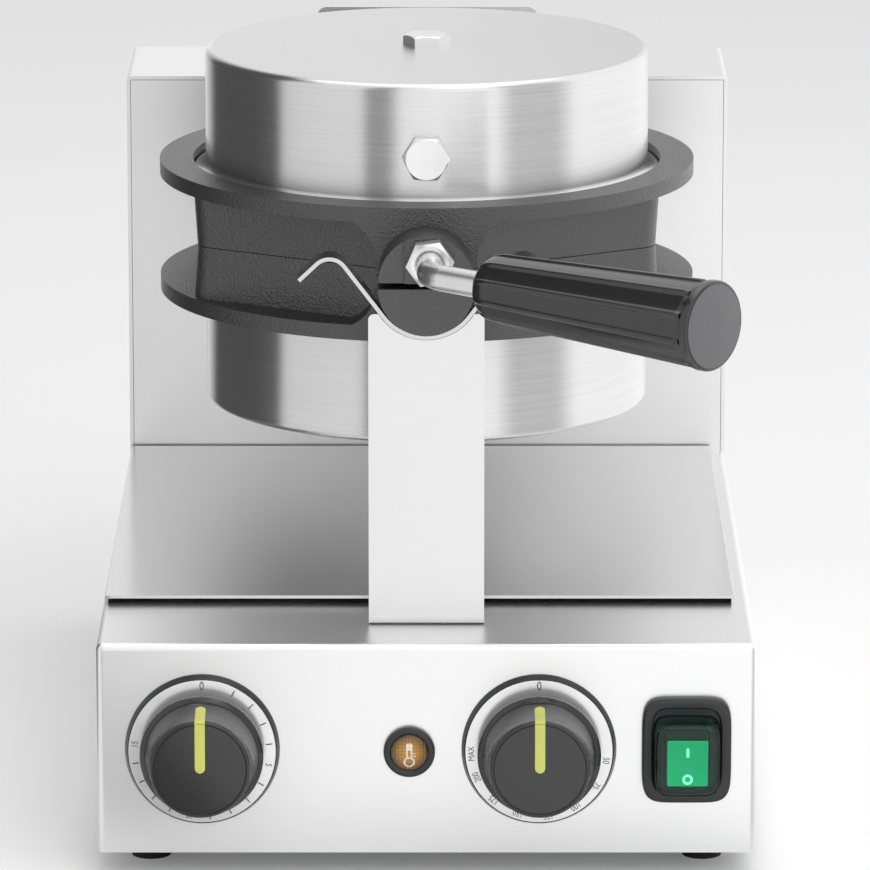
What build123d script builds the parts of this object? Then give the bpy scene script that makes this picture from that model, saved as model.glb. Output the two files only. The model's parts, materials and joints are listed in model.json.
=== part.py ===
"""Bubble waffle maker: a turning head with two hexagonal bubble plates on a steel stand."""

from build123d import *
import math
import os

os.makedirs("parts", exist_ok=True)

# Stand: a low base box with a column at its back, in folded stainless sheet
body_width = 250.0
base_height = 82.0
column_depth = 72.0
column_rise = 28.0
column_gap = 18.0
sheet = 1.5
fold_radius = 2.5
edge_radius = 1.0
sheet_gap = 0.2
foot_height = 10.0
foot_bottom_radius = 7.5
foot_top_radius = 10.0
foot_side_inset = 19.0
foot_end_inset = 32.0

# Head: centre, turning axis and the two mirrored halves
head_setback = 150.0
axis_height = 225.0
seam_gap = 0.3
hexagon_apothem = 88.8
hexagon_draft = 3.5
hexagon_corner_radius = 9.0
waist_height = 20.1
flange_radius = 105.0
flange_thickness = 5.9
drum_seat_radius = 92.0
drum_seat_depth = 4.5
drum_radius = 87.0
drum_end = 70.5
drum_rim_radius = 3.0
drum_sheet = 1.2
drum_lip_gap = 0.6

# Bubble plates
plate_apothem = 81.7
plate_corner_radius = 5.7
plate_gap = 0.3
web_depth = 2.3
plate_back = 17.0
ledge_opening_radius = 72.0
bubble_radius = 11.5
bubble_pitch = 25.2
bubble_rings = 3
bubble_sides = 12
bubble_tilts = (0, 32, 62)
plate_boss_radius = 12.0
plate_boss_height = 8.6

# Heating parts inside each drum
heater_ring_radius = 55.0
heater_tube_radius = 4.2
clamp_radius = 66.0
clamp_thickness = 2.0
inner_gap = 0.3
clamp_gap = 0.1

# Fasteners
bolt_radius = 5.0
bolt_flats = 16.0
bolt_head_height = 6.4
centre_bolt_head = 4.0
nut_height = 8.0
nut_turn = 6.4
thread_gap = 0.05
thread_depth = 7.0
hex_chamfer = 0.8
screw_radius = 2.4
screw_head_radius = 4.5
screw_head_height = 2.6
screw_gap = 0.15
front_bolt_height = 42.4
front_bolt_grip = 9.0

# Front journal and the cradle that carries it
journal_radius = 18.2
journal_split = 1.1
journal_rise = 1.0
journal_reach = 125.3
journal_step = 1.2
journal_step_x = -8.2
lug_root = 80.0
lug_half_width = 19.2
lug_top_half_width = 28.5
lug_straight = 5.0
lug_arc_radius = 16.7
liner_gap = 0.35
liner_thickness = 1.5
liner_depth = 12.0
liner_proud = 1.0
liner_fit = 0.35
hook_angle = 37.2
hook_run = 32.4
hook_tip = 17.1
hook_tip_angle = 43.5
hook_bend_radius = 7.0
bracket_setback = 28.0
bracket_width = 44.0
bracket_thickness = 2.0
bracket_top_drop = 11.3
bracket_foot = 28.0
bracket_bend_radius = 3.0
bracket_horn_radius = 2.3
bracket_screw_spacing = 26.0

# Rear hinge of the two halves and the turning shaft
hinge_back = 118.0
hinge_rise = 6.0
knuckle_radius = 10.0
hinge_block_half_width = 21.5
hinge_arm_gap = 0.8
hinge_arm_width = 11.0
hinge_root = 84.0
hinge_block_drop = 16.0
hinge_block_lead = 3.0
hinge_block_tail = 11.0
knuckle_flat = 9.0
hinge_pin_radius = 5.0
hinge_pin_head_radius = 7.5
hinge_pin_head = 2.5
running_gap = 0.05
boss_radius = 15.0
boss_back = 142.0
shaft_radius = 11.0
shaft_bore_radius = 6.5
shaft_start = 124.5
bush_radius = 14.0
housing_width = 51.0
housing_depth = 30.0
escutcheon_radius = 24.0
escutcheon_thickness = 4.0
collar_radius = 18.0
collar_width = 10.0
collar_play = 0.5

# Handle
nut_rise = 10.0
rod_side = 1.4
rod_depth = 16.0
rod_reach = 27.7
rod_bend_radius = 14.0
handle_angle = 40.0
grip_start = 29.0
grip_length = 100.4
grip_start_radius = 13.0
grip_end_radius = 16.6
grip_nose = 8.0
grip_nose_drop = 3.0
grip_flutes = 10
grip_rib_share = 0.22
grip_turn = 15.0
grip_bore_depth = 62.0
cap_radius = 17.0
cap_thickness = 4.0
cap_rounding = 1.3
cap_neck_radius = 15.4
cap_neck = 1.0
cap_spigot_radius = 8.0
cap_spigot = 8.0

# Drip tray
tray_setback = 60.0
tray_back_gap = 2.0
tray_left_margin = 0.6
tray_right_margin = 6.0
tray_sheet = 1.2
tray_lift = 2.2
tray_rim_width = 1.2
tray_fold_radius = 0.7

# Lid stop on the column
stop_gap = 1.5
stop_width = 92.0
stop_height = 25.0
stop_thickness = 2.0
stop_foot = 22.0
stop_corner_radius = 4.0
stop_screw_spacing = 60.0

# Control panel
panel_height_share = 0.5
timer_margin = 40.0
switch_margin = 26.3
thermostat_spacing = 56.0
lamp_spacing = 49.2
lamp_drop = 0.9
ring_radius = 29.4
ring_hole_radius = 12.2
ring_thickness = 3.8
ring_edge = 0.5
ring_bevel = 1.5
knob_gap = 5.4
knob_skirt_radius = 23.4
knob_skirt_edge = 1.6
knob_skirt_rim = 1.6
knob_root_radius = 21.4
knob_waist_radius = 19.9
knob_waist_share = 0.45
knob_top_radius = 19.0
knob_height = 20.4
knob_rounding = 1.2
knob_recess_radius = 12.4
knob_recess = 6.0
pointer_width = 3.9
pointer_reach = 18.8
pointer_rise = 0.4
spindle_radius = 3.0
spindle_reach = 22.0
spindle_depth = 11.0
neck_radius = 4.9
neck_reach = 5.0
panel_hole_gap = 0.3
timer_body_width = 44.0
timer_body_depth = 32.0
thermostat_body_radius = 19.0
thermostat_body_depth = 26.0
lamp_bezel_radius = 9.75
lamp_bezel_height = 2.8
lamp_barrel_radius = 8.0
lamp_lens_radius = 7.0
lamp_depth = 24.0
lamp_dome = 1.4
lamp_seat_wall = 1.6
switch_width = 34.0
switch_height = 41.3
switch_bezel = 3.6
switch_rim = 3.9
switch_recess = 1.6
switch_drop = 0.9
switch_corner_radius = 5.0
switch_body_width = 27.0
switch_body_height = 36.0
switch_body_depth = 26.0
switch_window_width = 20.0
switch_window_height = 26.0
switch_well = 9.0
rocker_width = 15.5
rocker_height = 18.5
rocker_rise = 8.0
rocker_tilt = 7.0
rocker_pivot_drop = 3.6
rocker_root_share = 0.4
rocker_root = 6.5
rocker_pin_radius = 1.5
rocker_pin_reach = 12.0
cover_width = 25.7
cover_height = 29.4
cover_rise = 13.2
cover_draft = 3.5
cover_wall = 0.8
cover_corner_radius = 5.0
cover_crown = 1.2

# Rear cover, bottom plate and cord gland
cover_margin = 8.0
rear_window_margin = 14.0
rear_cover_sheet = 1.2
rear_screw_inset = 4.0
rear_screw_head_radius = 3.5
vent_length = 60.0
vent_spacing = 90.0
vent_width = 4.0
vent_pitch = 10.0
vent_count = 6
bottom_vent_pitch = 15.0
bottom_sheet = 1.2
gland_radius = 9.0
gland_bore_radius = 4.2
gland_reach = 14.0
gland_nut_length = 6.3
gland_cap_radius = 7.7
gland_thread_radius = 7.5
gland_thread_length = 8.0
gland_margin = 45.0
gland_height = 40.0

# Places worked out from the sizes above; the whole part is centred over its footprint
base_depth = head_setback + boss_back + column_gap
total_depth = base_depth + column_depth
handle_reach = grip_start + grip_length + cap_neck + cap_thickness
handle_sin = math.sin(math.radians(handle_angle))
handle_cos = math.cos(math.radians(handle_angle))
journal_face_setback = head_setback - journal_reach
cap_front = max(
    (handle_reach - cap_rounding) * handle_sin + cap_radius * handle_cos,
    handle_reach * handle_sin + (cap_radius - cap_rounding) * handle_cos,
)
front_extent = rod_reach + cap_front - journal_face_setback
rear_extent = total_depth + rear_cover_sheet + gland_reach
front_y = (front_extent - rear_extent) / 2
rear_y = front_y + total_depth
column_y = front_y + base_depth
base_top = foot_height + base_height
column_top = axis_height + column_rise
column_height = column_top - base_top
head_y = front_y + head_setback
seam_point = (0, head_y, axis_height)
flange_top = waist_height + flange_thickness
seat_height = flange_top - drum_seat_depth
panel_z = foot_height + base_height * panel_height_share
timer_x = -body_width / 2 + timer_margin
switch_x = body_width / 2 - switch_margin
thermostat_x = switch_x - thermostat_spacing
lamp_x = thermostat_x - lamp_spacing
gland_x = -body_width / 2 + gland_margin
panel_plane = Plane(origin=(0, front_y, panel_z), x_dir=(1, 0, 0), z_dir=(0, -1, 0))
head_front_view = Plane(origin=seam_point, x_dir=(1, 0, 0), z_dir=(0, -1, 0))
bracket_reach = head_setback - bracket_setback
liner_inner_radius = journal_radius + journal_rise + liner_gap
liner_outer_radius = liner_inner_radius + liner_thickness
bracket_y = front_y + bracket_setback
hinge_y = head_y + hinge_back
hinge_z = axis_height + hinge_rise
stop_setback = head_setback + hinge_back + drum_end - hinge_rise + stop_gap
shaft_end = boss_back + column_gap + sheet + housing_depth + collar_play + collar_width
arm_inner_x = hinge_block_half_width + hinge_arm_gap
arm_outer_x = arm_inner_x + hinge_arm_width
knob_base = ring_thickness + knob_gap
knob_top = knob_base + knob_height
knob_root = (knob_root_radius, knob_base + knob_skirt_edge + knob_skirt_rim)
knob_waist = (knob_waist_radius, knob_base + knob_height * knob_waist_share)
hole_radius = screw_radius + screw_gap


def bubble_points():
    """Centres of the pockets: a triangular lattice in rings about the middle."""
    row = bubble_pitch * math.sqrt(3) / 2
    points = []
    for column in range(-bubble_rings, bubble_rings + 1):
        for step in range(-bubble_rings, bubble_rings + 1):
            if abs(column + step) <= bubble_rings:
                points.append((column * row, (step + column / 2) * bubble_pitch))
    return points


def half_planes(outward):
    """Seam plane, front view and side view of one half; outward is 1 above the seam, -1 below."""
    seam = Plane(origin=seam_point, x_dir=(outward, 0, 0), z_dir=(0, 0, outward))
    front = Plane(origin=seam_point, x_dir=(outward, 0, 0), z_dir=(0, -1, 0))
    side = Plane(origin=seam_point, x_dir=(0, 1, 0), z_dir=(outward, 0, 0))
    return seam, front, side


def write(part, name):
    """Label a finished piece and write it under its own name."""
    part.label = name
    export_step(part, f"parts/{name}.step")


# Base box, open below and windowed at the back and under the column
with BuildPart() as base_shell:
    with BuildSketch(Plane.XY.offset(foot_height)):
        with Locations((0, front_y + total_depth / 2)):
            Rectangle(body_width, total_depth)
    extrude(amount=base_height)
    fillet(base_shell.edges().filter_by(Axis.Z).group_by(Axis.Y)[0], fold_radius)
    fillet(base_shell.faces().sort_by(Axis.Z)[-1].edges().sort_by(Axis.Y)[0], fold_radius)
    offset(amount=-sheet, openings=base_shell.faces().sort_by(Axis.Z)[0])
    with BuildSketch(Plane.XZ.offset(-rear_y)):
        with Locations((0, foot_height + base_height / 2)):
            Rectangle(body_width - 2 * rear_window_margin, base_height - 2 * rear_window_margin)
    extrude(amount=2 * sheet, both=True, mode=Mode.SUBTRACT)
    with BuildSketch(Plane.XY.offset(base_top)):
        with Locations((0, column_y + column_depth / 2)):
            Rectangle(body_width - 2 * rear_window_margin, column_depth - 2 * rear_window_margin)
    extrude(amount=-2 * sheet, mode=Mode.SUBTRACT)
    with BuildSketch(panel_plane):
        with Locations((timer_x, 0), (thermostat_x, 0)):
            Circle(neck_radius + panel_hole_gap)
        with Locations((lamp_x, -lamp_drop)):
            Circle(lamp_barrel_radius + panel_hole_gap)
        with Locations((switch_x, 0)):
            Rectangle(switch_body_width + 2 * panel_hole_gap, switch_body_height + 2 * panel_hole_gap)
    extrude(amount=-2 * sheet, mode=Mode.SUBTRACT)
    with BuildSketch(Plane.XY.offset(base_top)):
        with Locations((0, bracket_y + bracket_foot / 2 + bracket_thickness)):
            with GridLocations(bracket_screw_spacing, 1, 2, 1):
                Circle(hole_radius)
    extrude(amount=-2 * sheet, mode=Mode.SUBTRACT)
write(base_shell.part, "base_shell")

# Column cover: sides and top, open to the base, with a front plate let in between the sides
with BuildPart() as column_shell:
    with BuildSketch(Plane.XY.offset(base_top)):
        with Locations((0, column_y + column_depth / 2)):
            Rectangle(body_width, column_depth)
    extrude(amount=column_height)
    fillet(column_shell.edges().filter_by(Axis.Z).group_by(Axis.Y)[-1], fold_radius)
    fillet(column_shell.faces().sort_by(Axis.Z)[-1].edges().sort_by(Axis.Y)[-1], fold_radius)
    offset(amount=-sheet, openings=column_shell.faces().sort_by(Axis.Z)[0])
    with BuildSketch(Plane.XZ.offset(-column_y)):
        with Locations((0, base_top + (column_height - sheet) / 2)):
            Rectangle(body_width - 2 * sheet, column_height - sheet)
    extrude(amount=-2 * sheet, mode=Mode.SUBTRACT)
    with BuildSketch(Plane.XZ.offset(-rear_y)):
        with Locations((0, base_top + column_height / 2)):
            Rectangle(body_width - 2 * rear_window_margin, column_height - 2 * rear_window_margin)
    extrude(amount=2 * sheet, both=True, mode=Mode.SUBTRACT)
    with BuildSketch(Plane.XY.offset(column_top)):
        with Locations((0, front_y + stop_setback + stop_thickness + stop_foot / 2)):
            with GridLocations(stop_screw_spacing, 1, 2, 1):
                Circle(hole_radius)
    extrude(amount=-2 * sheet, mode=Mode.SUBTRACT)
write(column_shell.part, "column_shell")

with BuildPart() as column_front:
    with BuildSketch(Plane.XZ.offset(-column_y)):
        with Locations((0, base_top + (column_height - sheet - sheet_gap) / 2)):
            Rectangle(body_width - 2 * (sheet + sheet_gap), column_height - sheet - sheet_gap)
        with Locations((0, axis_height)):
            Circle(bush_radius + running_gap, mode=Mode.SUBTRACT)
    extrude(amount=-sheet)
write(column_front.part, "column_front")

# Rear cover over both windows, with two columns of vent slots
rear_cover_top = column_top - cover_margin
rear_cover_bottom = foot_height + cover_margin
rear_cover_height = rear_cover_top - rear_cover_bottom
rear_cover_width = body_width - 2 * cover_margin
rear_screw_points = [
    (side * (rear_cover_width / 2 - rear_screw_inset), height)
    for side in (-1, 1)
    for height in (
        rear_cover_bottom + rear_screw_inset,
        base_top - rear_screw_inset,
        rear_cover_top - rear_screw_inset,
    )
]
with BuildPart() as rear_cover:
    with BuildSketch(Plane.XZ.offset(-rear_y)):
        with Locations((0, rear_cover_bottom + rear_cover_height / 2)):
            RectangleRounded(rear_cover_width, rear_cover_height, edge_radius * 2)
        with Locations((0, base_top + column_height / 2)):
            with GridLocations(vent_spacing, vent_pitch, 2, vent_count):
                Rectangle(vent_length, vent_width, mode=Mode.SUBTRACT)
        with Locations((gland_x, gland_height)):
            Circle(gland_thread_radius + panel_hole_gap, mode=Mode.SUBTRACT)
        with Locations(*rear_screw_points):
            Circle(hole_radius, mode=Mode.SUBTRACT)
    extrude(amount=-rear_cover_sheet)
write(rear_cover.part, "rear_cover")

with BuildPart() as rear_screws:
    with BuildSketch(Plane.XZ.offset(-rear_y - rear_cover_sheet)):
        with Locations(*rear_screw_points):
            Circle(rear_screw_head_radius)
    extrude(amount=-screw_head_height)
    with BuildSketch(Plane.XZ.offset(-rear_y - rear_cover_sheet)):
        with Locations(*rear_screw_points):
            Circle(screw_radius)
    extrude(amount=rear_cover_sheet)
write(rear_screws.part, "rear_screws")

with BuildPart() as cord_gland:
    with BuildSketch(Plane.XZ.offset(-rear_y - rear_cover_sheet)):
        with Locations((gland_x, gland_height)):
            RegularPolygon(gland_radius, 6, major_radius=False)
    extrude(amount=-gland_nut_length)
    with BuildSketch(Plane.XZ.offset(-rear_y - rear_cover_sheet)):
        with Locations((gland_x, gland_height)):
            Circle(gland_cap_radius)
    extrude(amount=-gland_reach)
    chamfer(cord_gland.faces().sort_by(Axis.Y)[-1].edges(), 2 * edge_radius)
    with BuildSketch(Plane.XZ.offset(-rear_y - rear_cover_sheet)):
        with Locations((gland_x, gland_height)):
            Circle(gland_thread_radius)
    extrude(amount=gland_thread_length)
    with BuildSketch(Plane.XZ.offset(-rear_y + gland_thread_length)):
        with Locations((gland_x, gland_height)):
            Circle(gland_bore_radius)
    extrude(amount=-2 * gland_thread_length - gland_reach, mode=Mode.SUBTRACT)
write(cord_gland.part, "cord_gland")

# Bottom plate with vent slots, inside the folded edge
with BuildPart() as bottom_plate:
    with BuildSketch(Plane.XY.offset(foot_height)):
        with Locations((0, front_y + total_depth / 2)):
            Rectangle(body_width - 2 * (sheet + sheet_gap), total_depth - 2 * (sheet + sheet_gap))
            with GridLocations(vent_spacing, bottom_vent_pitch, 2, vent_count):
                Rectangle(vent_length, vent_width, mode=Mode.SUBTRACT)
    extrude(amount=bottom_sheet)
    fillet(bottom_plate.edges().filter_by(Axis.Z).group_by(Axis.Y)[0], fold_radius)
write(bottom_plate.part, "bottom_plate")

# Four rubber feet under the bottom plate
foot_x = body_width / 2 - foot_side_inset
foot_places = {
    "foot_front_left": (-foot_x, front_y + foot_end_inset),
    "foot_front_right": (foot_x, front_y + foot_end_inset),
    "foot_rear_left": (-foot_x, rear_y - foot_end_inset),
    "foot_rear_right": (foot_x, rear_y - foot_end_inset),
}
for foot_name, (x, y) in foot_places.items():
    with BuildPart() as foot:
        with BuildSketch(Plane.XY.offset(foot_height)):
            with Locations((x, y)):
                Circle(foot_top_radius)
        with BuildSketch(Plane.XY):
            with Locations((x, y)):
                Circle(foot_bottom_radius)
        loft()
    write(foot.part, foot_name)

# Front support: a bent plate whose rounded cut-out carries the journal
with BuildPart() as front_support:
    with BuildSketch(Plane.YZ.offset(-bracket_width / 2)):
        with BuildLine():
            Polyline(
                (bracket_y, base_top),
                (bracket_y, axis_height - bracket_top_drop),
                (bracket_y + bracket_thickness, axis_height - bracket_top_drop),
                (bracket_y + bracket_thickness, base_top + bracket_thickness),
                (bracket_y + bracket_thickness + bracket_foot, base_top + bracket_thickness),
                (bracket_y + bracket_thickness + bracket_foot, base_top),
                close=True,
            )
        make_face()
    extrude(amount=bracket_width)
    fillet(
        front_support.edges().filter_by(Axis.X).group_by(Axis.Z)[0].sort_by(Axis.Y)[0],
        bracket_bend_radius,
    )
    fillet(
        front_support.faces().sort_by(Axis.Z)[-1].edges().filter_by(Axis.Y),
        bracket_horn_radius,
    )
    with BuildSketch(head_front_view.offset(bracket_reach)):
        Circle(liner_outer_radius + liner_fit)
    extrude(amount=-2 * liner_depth, both=True, mode=Mode.SUBTRACT)
    with BuildSketch(Plane.XY.offset(base_top)):
        with Locations((0, bracket_y + bracket_foot / 2 + bracket_thickness)):
            with GridLocations(bracket_screw_spacing, 1, 2, 1):
                Circle(hole_radius)
    extrude(amount=2 * bracket_thickness, mode=Mode.SUBTRACT)
write(front_support.part, "front_support")

with BuildPart() as support_screws:
    with BuildSketch(Plane.XY.offset(base_top + bracket_thickness)):
        with Locations((0, bracket_y + bracket_foot / 2 + bracket_thickness)):
            with GridLocations(bracket_screw_spacing, 1, 2, 1):
                Circle(screw_head_radius)
    extrude(amount=screw_head_height)
    chamfer(support_screws.faces().filter_by(Axis.Z).group_by(Axis.Z)[-1].edges(), edge_radius)
    with BuildSketch(Plane.XY.offset(base_top + bracket_thickness)):
        with Locations((0, bracket_y + bracket_foot / 2 + bracket_thickness)):
            with GridLocations(bracket_screw_spacing, 1, 2, 1):
                Circle(screw_radius)
    extrude(amount=-bracket_thickness - 3 * sheet)
write(support_screws.part, "support_screws")

# Cradle liner: a spring-steel strip round the journal, with a hook at each side
liner_line_radius = liner_inner_radius + liner_thickness / 2
hook_sin = math.sin(math.radians(hook_angle))
hook_cos = math.cos(math.radians(hook_angle))
tangent = (-liner_line_radius * hook_cos, -liner_line_radius * hook_sin)
hook_peak = (tangent[0] - hook_run * hook_sin, tangent[1] + hook_run * hook_cos)
hook_end = (
    hook_peak[0] - hook_tip * math.cos(math.radians(hook_tip_angle)),
    hook_peak[1] - hook_tip * math.sin(math.radians(hook_tip_angle)),
)
with BuildPart() as cradle_liner:
    with BuildSketch(head_front_view.offset(bracket_reach + liner_proud)):
        with BuildLine() as liner_line:
            FilletPolyline(hook_end, hook_peak, tangent, radius=hook_bend_radius)
            ThreePointArc(tangent, (0, -liner_line_radius), (-tangent[0], tangent[1]))
            FilletPolyline(
                (-tangent[0], tangent[1]),
                (-hook_peak[0], hook_peak[1]),
                (-hook_end[0], hook_end[1]),
                radius=hook_bend_radius,
            )
        trace(liner_line.line, line_width=liner_thickness)
    extrude(amount=-liner_depth)
write(cradle_liner.part, "cradle_liner")

# Lid stop on the column: the open half leans on it
with BuildPart() as lid_stop:
    with BuildSketch(Plane.YZ.offset(-stop_width / 2)):
        with BuildLine():
            Polyline(
                (front_y + stop_setback, column_top),
                (front_y + stop_setback, column_top + stop_height),
                (front_y + stop_setback + stop_thickness, column_top + stop_height),
                (front_y + stop_setback + stop_thickness, column_top + stop_thickness),
                (front_y + stop_setback + stop_thickness + stop_foot, column_top + stop_thickness),
                (front_y + stop_setback + stop_thickness + stop_foot, column_top),
                close=True,
            )
        make_face()
    extrude(amount=stop_width)
    fillet(
        lid_stop.edges().filter_by(Axis.X).group_by(Axis.Z)[0].sort_by(Axis.Y)[0],
        bracket_bend_radius,
    )
    fillet(lid_stop.faces().sort_by(Axis.Z)[-1].edges().filter_by(Axis.Y), stop_corner_radius)
    fillet(lid_stop.faces().sort_by(Axis.Y)[-1].edges().filter_by(Axis.Z), stop_corner_radius)
    with BuildSketch(Plane.XY.offset(column_top)):
        with Locations((0, front_y + stop_setback + stop_thickness + stop_foot / 2)):
            with GridLocations(stop_screw_spacing, 1, 2, 1):
                Circle(hole_radius)
    extrude(amount=2 * stop_thickness, mode=Mode.SUBTRACT)
write(lid_stop.part, "lid_stop")

with BuildPart() as stop_screws:
    with BuildSketch(Plane.XY.offset(column_top + stop_thickness)):
        with Locations((0, front_y + stop_setback + stop_thickness + stop_foot / 2)):
            with GridLocations(stop_screw_spacing, 1, 2, 1):
                Circle(screw_head_radius)
    extrude(amount=screw_head_height)
    chamfer(stop_screws.faces().filter_by(Axis.Z).group_by(Axis.Z)[-1].edges(), edge_radius)
    with BuildSketch(Plane.XY.offset(column_top + stop_thickness)):
        with Locations((0, front_y + stop_setback + stop_thickness + stop_foot / 2)):
            with GridLocations(stop_screw_spacing, 1, 2, 1):
                Circle(screw_radius)
    extrude(amount=-stop_thickness - 3 * sheet)
write(stop_screws.part, "stop_screws")

# Drip tray: a flat sheet lifted on two folded side rims
tray_left = -body_width / 2 + tray_left_margin
tray_right = body_width / 2 - tray_right_margin
tray_front = front_y + tray_setback
tray_back = column_y - tray_back_gap
with BuildPart() as drip_tray:
    with BuildSketch(Plane.XZ.offset(-tray_front)):
        with BuildLine():
            Polyline(
                (tray_left, base_top),
                (tray_left, base_top + tray_lift + tray_sheet),
                (tray_right, base_top + tray_lift + tray_sheet),
                (tray_right, base_top),
                (tray_right - tray_rim_width, base_top),
                (tray_right - tray_rim_width, base_top + tray_lift),
                (tray_left + tray_rim_width, base_top + tray_lift),
                (tray_left + tray_rim_width, base_top),
                close=True,
            )
        make_face()
    extrude(amount=-(tray_back - tray_front))
    fillet(
        drip_tray.edges().filter_by(Axis.Y).group_by(Axis.Z)[-1],
        tray_fold_radius,
    )
write(drip_tray.part, "drip_tray")

# Dials: scale ring, control unit behind the panel, spindle, knob and pointer
for dial, dial_x in (("timer", timer_x), ("thermostat", thermostat_x)):
    dial_point = (dial_x, front_y, panel_z)
    dial_axis = Axis(dial_point, (0, -1, 0))
    dial_plane = Plane(origin=dial_point, x_dir=(1, 0, 0), z_dir=(0, -1, 0))
    dial_section = Plane(origin=dial_point, x_dir=(1, 0, 0), z_dir=(0, 0, -1))

    with BuildPart() as scale_ring:
        with BuildSketch(dial_section):
            with BuildLine():
                Polyline(
                    (ring_hole_radius, 0),
                    (ring_radius, 0),
                    (ring_radius, ring_edge),
                    (ring_radius - ring_bevel, ring_thickness),
                    (ring_hole_radius, ring_thickness),
                    close=True,
                )
            make_face()
        revolve(axis=dial_axis)
    write(scale_ring.part, f"{dial}_scale_ring")

    with BuildPart() as unit:
        with BuildSketch(dial_plane.offset(-sheet)):
            if dial == "timer":
                RectangleRounded(timer_body_width, timer_body_width, fold_radius)
            else:
                Circle(thermostat_body_radius)
        extrude(amount=-(timer_body_depth if dial == "timer" else thermostat_body_depth))
        with BuildSketch(dial_plane.offset(-sheet)):
            Circle(neck_radius)
        extrude(amount=sheet + neck_reach)
        with BuildSketch(dial_plane.offset(neck_reach)):
            Circle(spindle_radius + running_gap)
        extrude(amount=-(neck_reach + spindle_depth + sheet_gap), mode=Mode.SUBTRACT)
    write(unit.part, f"{dial}_unit")

    with BuildPart() as spindle:
        with BuildSketch(dial_plane.offset(spindle_reach)):
            Circle(spindle_radius)
        extrude(amount=-(spindle_reach + spindle_depth))
    write(spindle.part, f"{dial}_spindle")

    with BuildPart() as knob:
        with BuildSketch(dial_section):
            with BuildLine():
                Polyline(
                    (0, knob_top),
                    (knob_top_radius - knob_rounding, knob_top),
                    (knob_top_radius, knob_top - knob_rounding),
                )
                ThreePointArc(
                    (knob_top_radius, knob_top - knob_rounding), knob_waist, knob_root
                )
                Polyline(
                    knob_root,
                    (knob_skirt_radius, knob_base + knob_skirt_edge),
                    (knob_skirt_radius, knob_base),
                    (knob_recess_radius, knob_base),
                    (knob_recess_radius, knob_base + knob_recess),
                    (spindle_radius + thread_gap, knob_base + knob_recess),
                    (spindle_radius + thread_gap, spindle_reach + sheet_gap),
                    (0, spindle_reach + sheet_gap),
                    (0, knob_top),
                )
            make_face()
        revolve(axis=dial_axis)
    write(knob.part, f"{dial}_knob")

    with BuildPart() as pointer:
        with BuildSketch(dial_section):
            with BuildLine():
                Polyline(
                    (0, knob_top + pointer_rise),
                    (knob_top_radius - knob_rounding, knob_top + pointer_rise),
                    (knob_top_radius + pointer_rise, knob_top - knob_rounding),
                )
                ThreePointArc(
                    (knob_top_radius + pointer_rise, knob_top - knob_rounding),
                    (knob_waist[0] + pointer_rise, knob_waist[1]),
                    (knob_root[0] + pointer_rise, knob_root[1]),
                )
                Polyline(
                    (knob_root[0] + pointer_rise, knob_root[1]),
                    (0, knob_root[1]),
                    (0, knob_top + pointer_rise),
                )
            make_face()
        revolve(axis=dial_axis)
        with BuildSketch(dial_plane):
            with Locations((0, pointer_reach / 2)):
                SlotOverall(pointer_reach + pointer_width, pointer_width, rotation=90)
        extrude(amount=2 * knob_top, mode=Mode.INTERSECT)
        add(knob.part, mode=Mode.SUBTRACT)
        with BuildSketch(dial_plane):
            Circle(knob_recess_radius)
        extrude(amount=spindle_reach + edge_radius, mode=Mode.SUBTRACT)
    write(pointer.part, f"{dial}_pointer")

# Indicator lamp
lamp_point = (lamp_x, front_y, panel_z - lamp_drop)
lamp_axis = Axis(lamp_point, (0, -1, 0))
lamp_section = Plane(origin=lamp_point, x_dir=(1, 0, 0), z_dir=(0, 0, -1))
with BuildPart() as lamp_bezel:
    with BuildSketch(lamp_section):
        with BuildLine():
            Polyline(
                (lamp_lens_radius + sheet_gap, lamp_bezel_height),
                (lamp_bezel_radius - edge_radius, lamp_bezel_height),
                (lamp_bezel_radius, lamp_bezel_height - edge_radius),
                (lamp_bezel_radius, 0),
                (lamp_barrel_radius, 0),
                (lamp_barrel_radius, -lamp_depth),
                (0, -lamp_depth),
                (0, -lamp_seat_wall),
                (lamp_lens_radius + sheet_gap, -lamp_seat_wall),
                close=True,
            )
        make_face()
    revolve(axis=lamp_axis)
write(lamp_bezel.part, "lamp_bezel")

dome_radius = (lamp_lens_radius**2 + lamp_dome**2) / (2 * lamp_dome)
dome_angle = math.degrees(math.acos(lamp_lens_radius / dome_radius))
with BuildPart() as lamp_lens:
    with BuildSketch(lamp_section):
        with BuildLine():
            Polyline(
                (0, lamp_bezel_height + lamp_dome),
                (0, -lamp_seat_wall),
                (lamp_lens_radius, -lamp_seat_wall),
                (lamp_lens_radius, lamp_bezel_height),
            )
            CenterArc(
                (0, lamp_bezel_height + lamp_dome - dome_radius),
                dome_radius,
                dome_angle,
                90 - dome_angle,
            )
        make_face()
    revolve(axis=lamp_axis)
write(lamp_lens.part, "lamp_lens")

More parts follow.
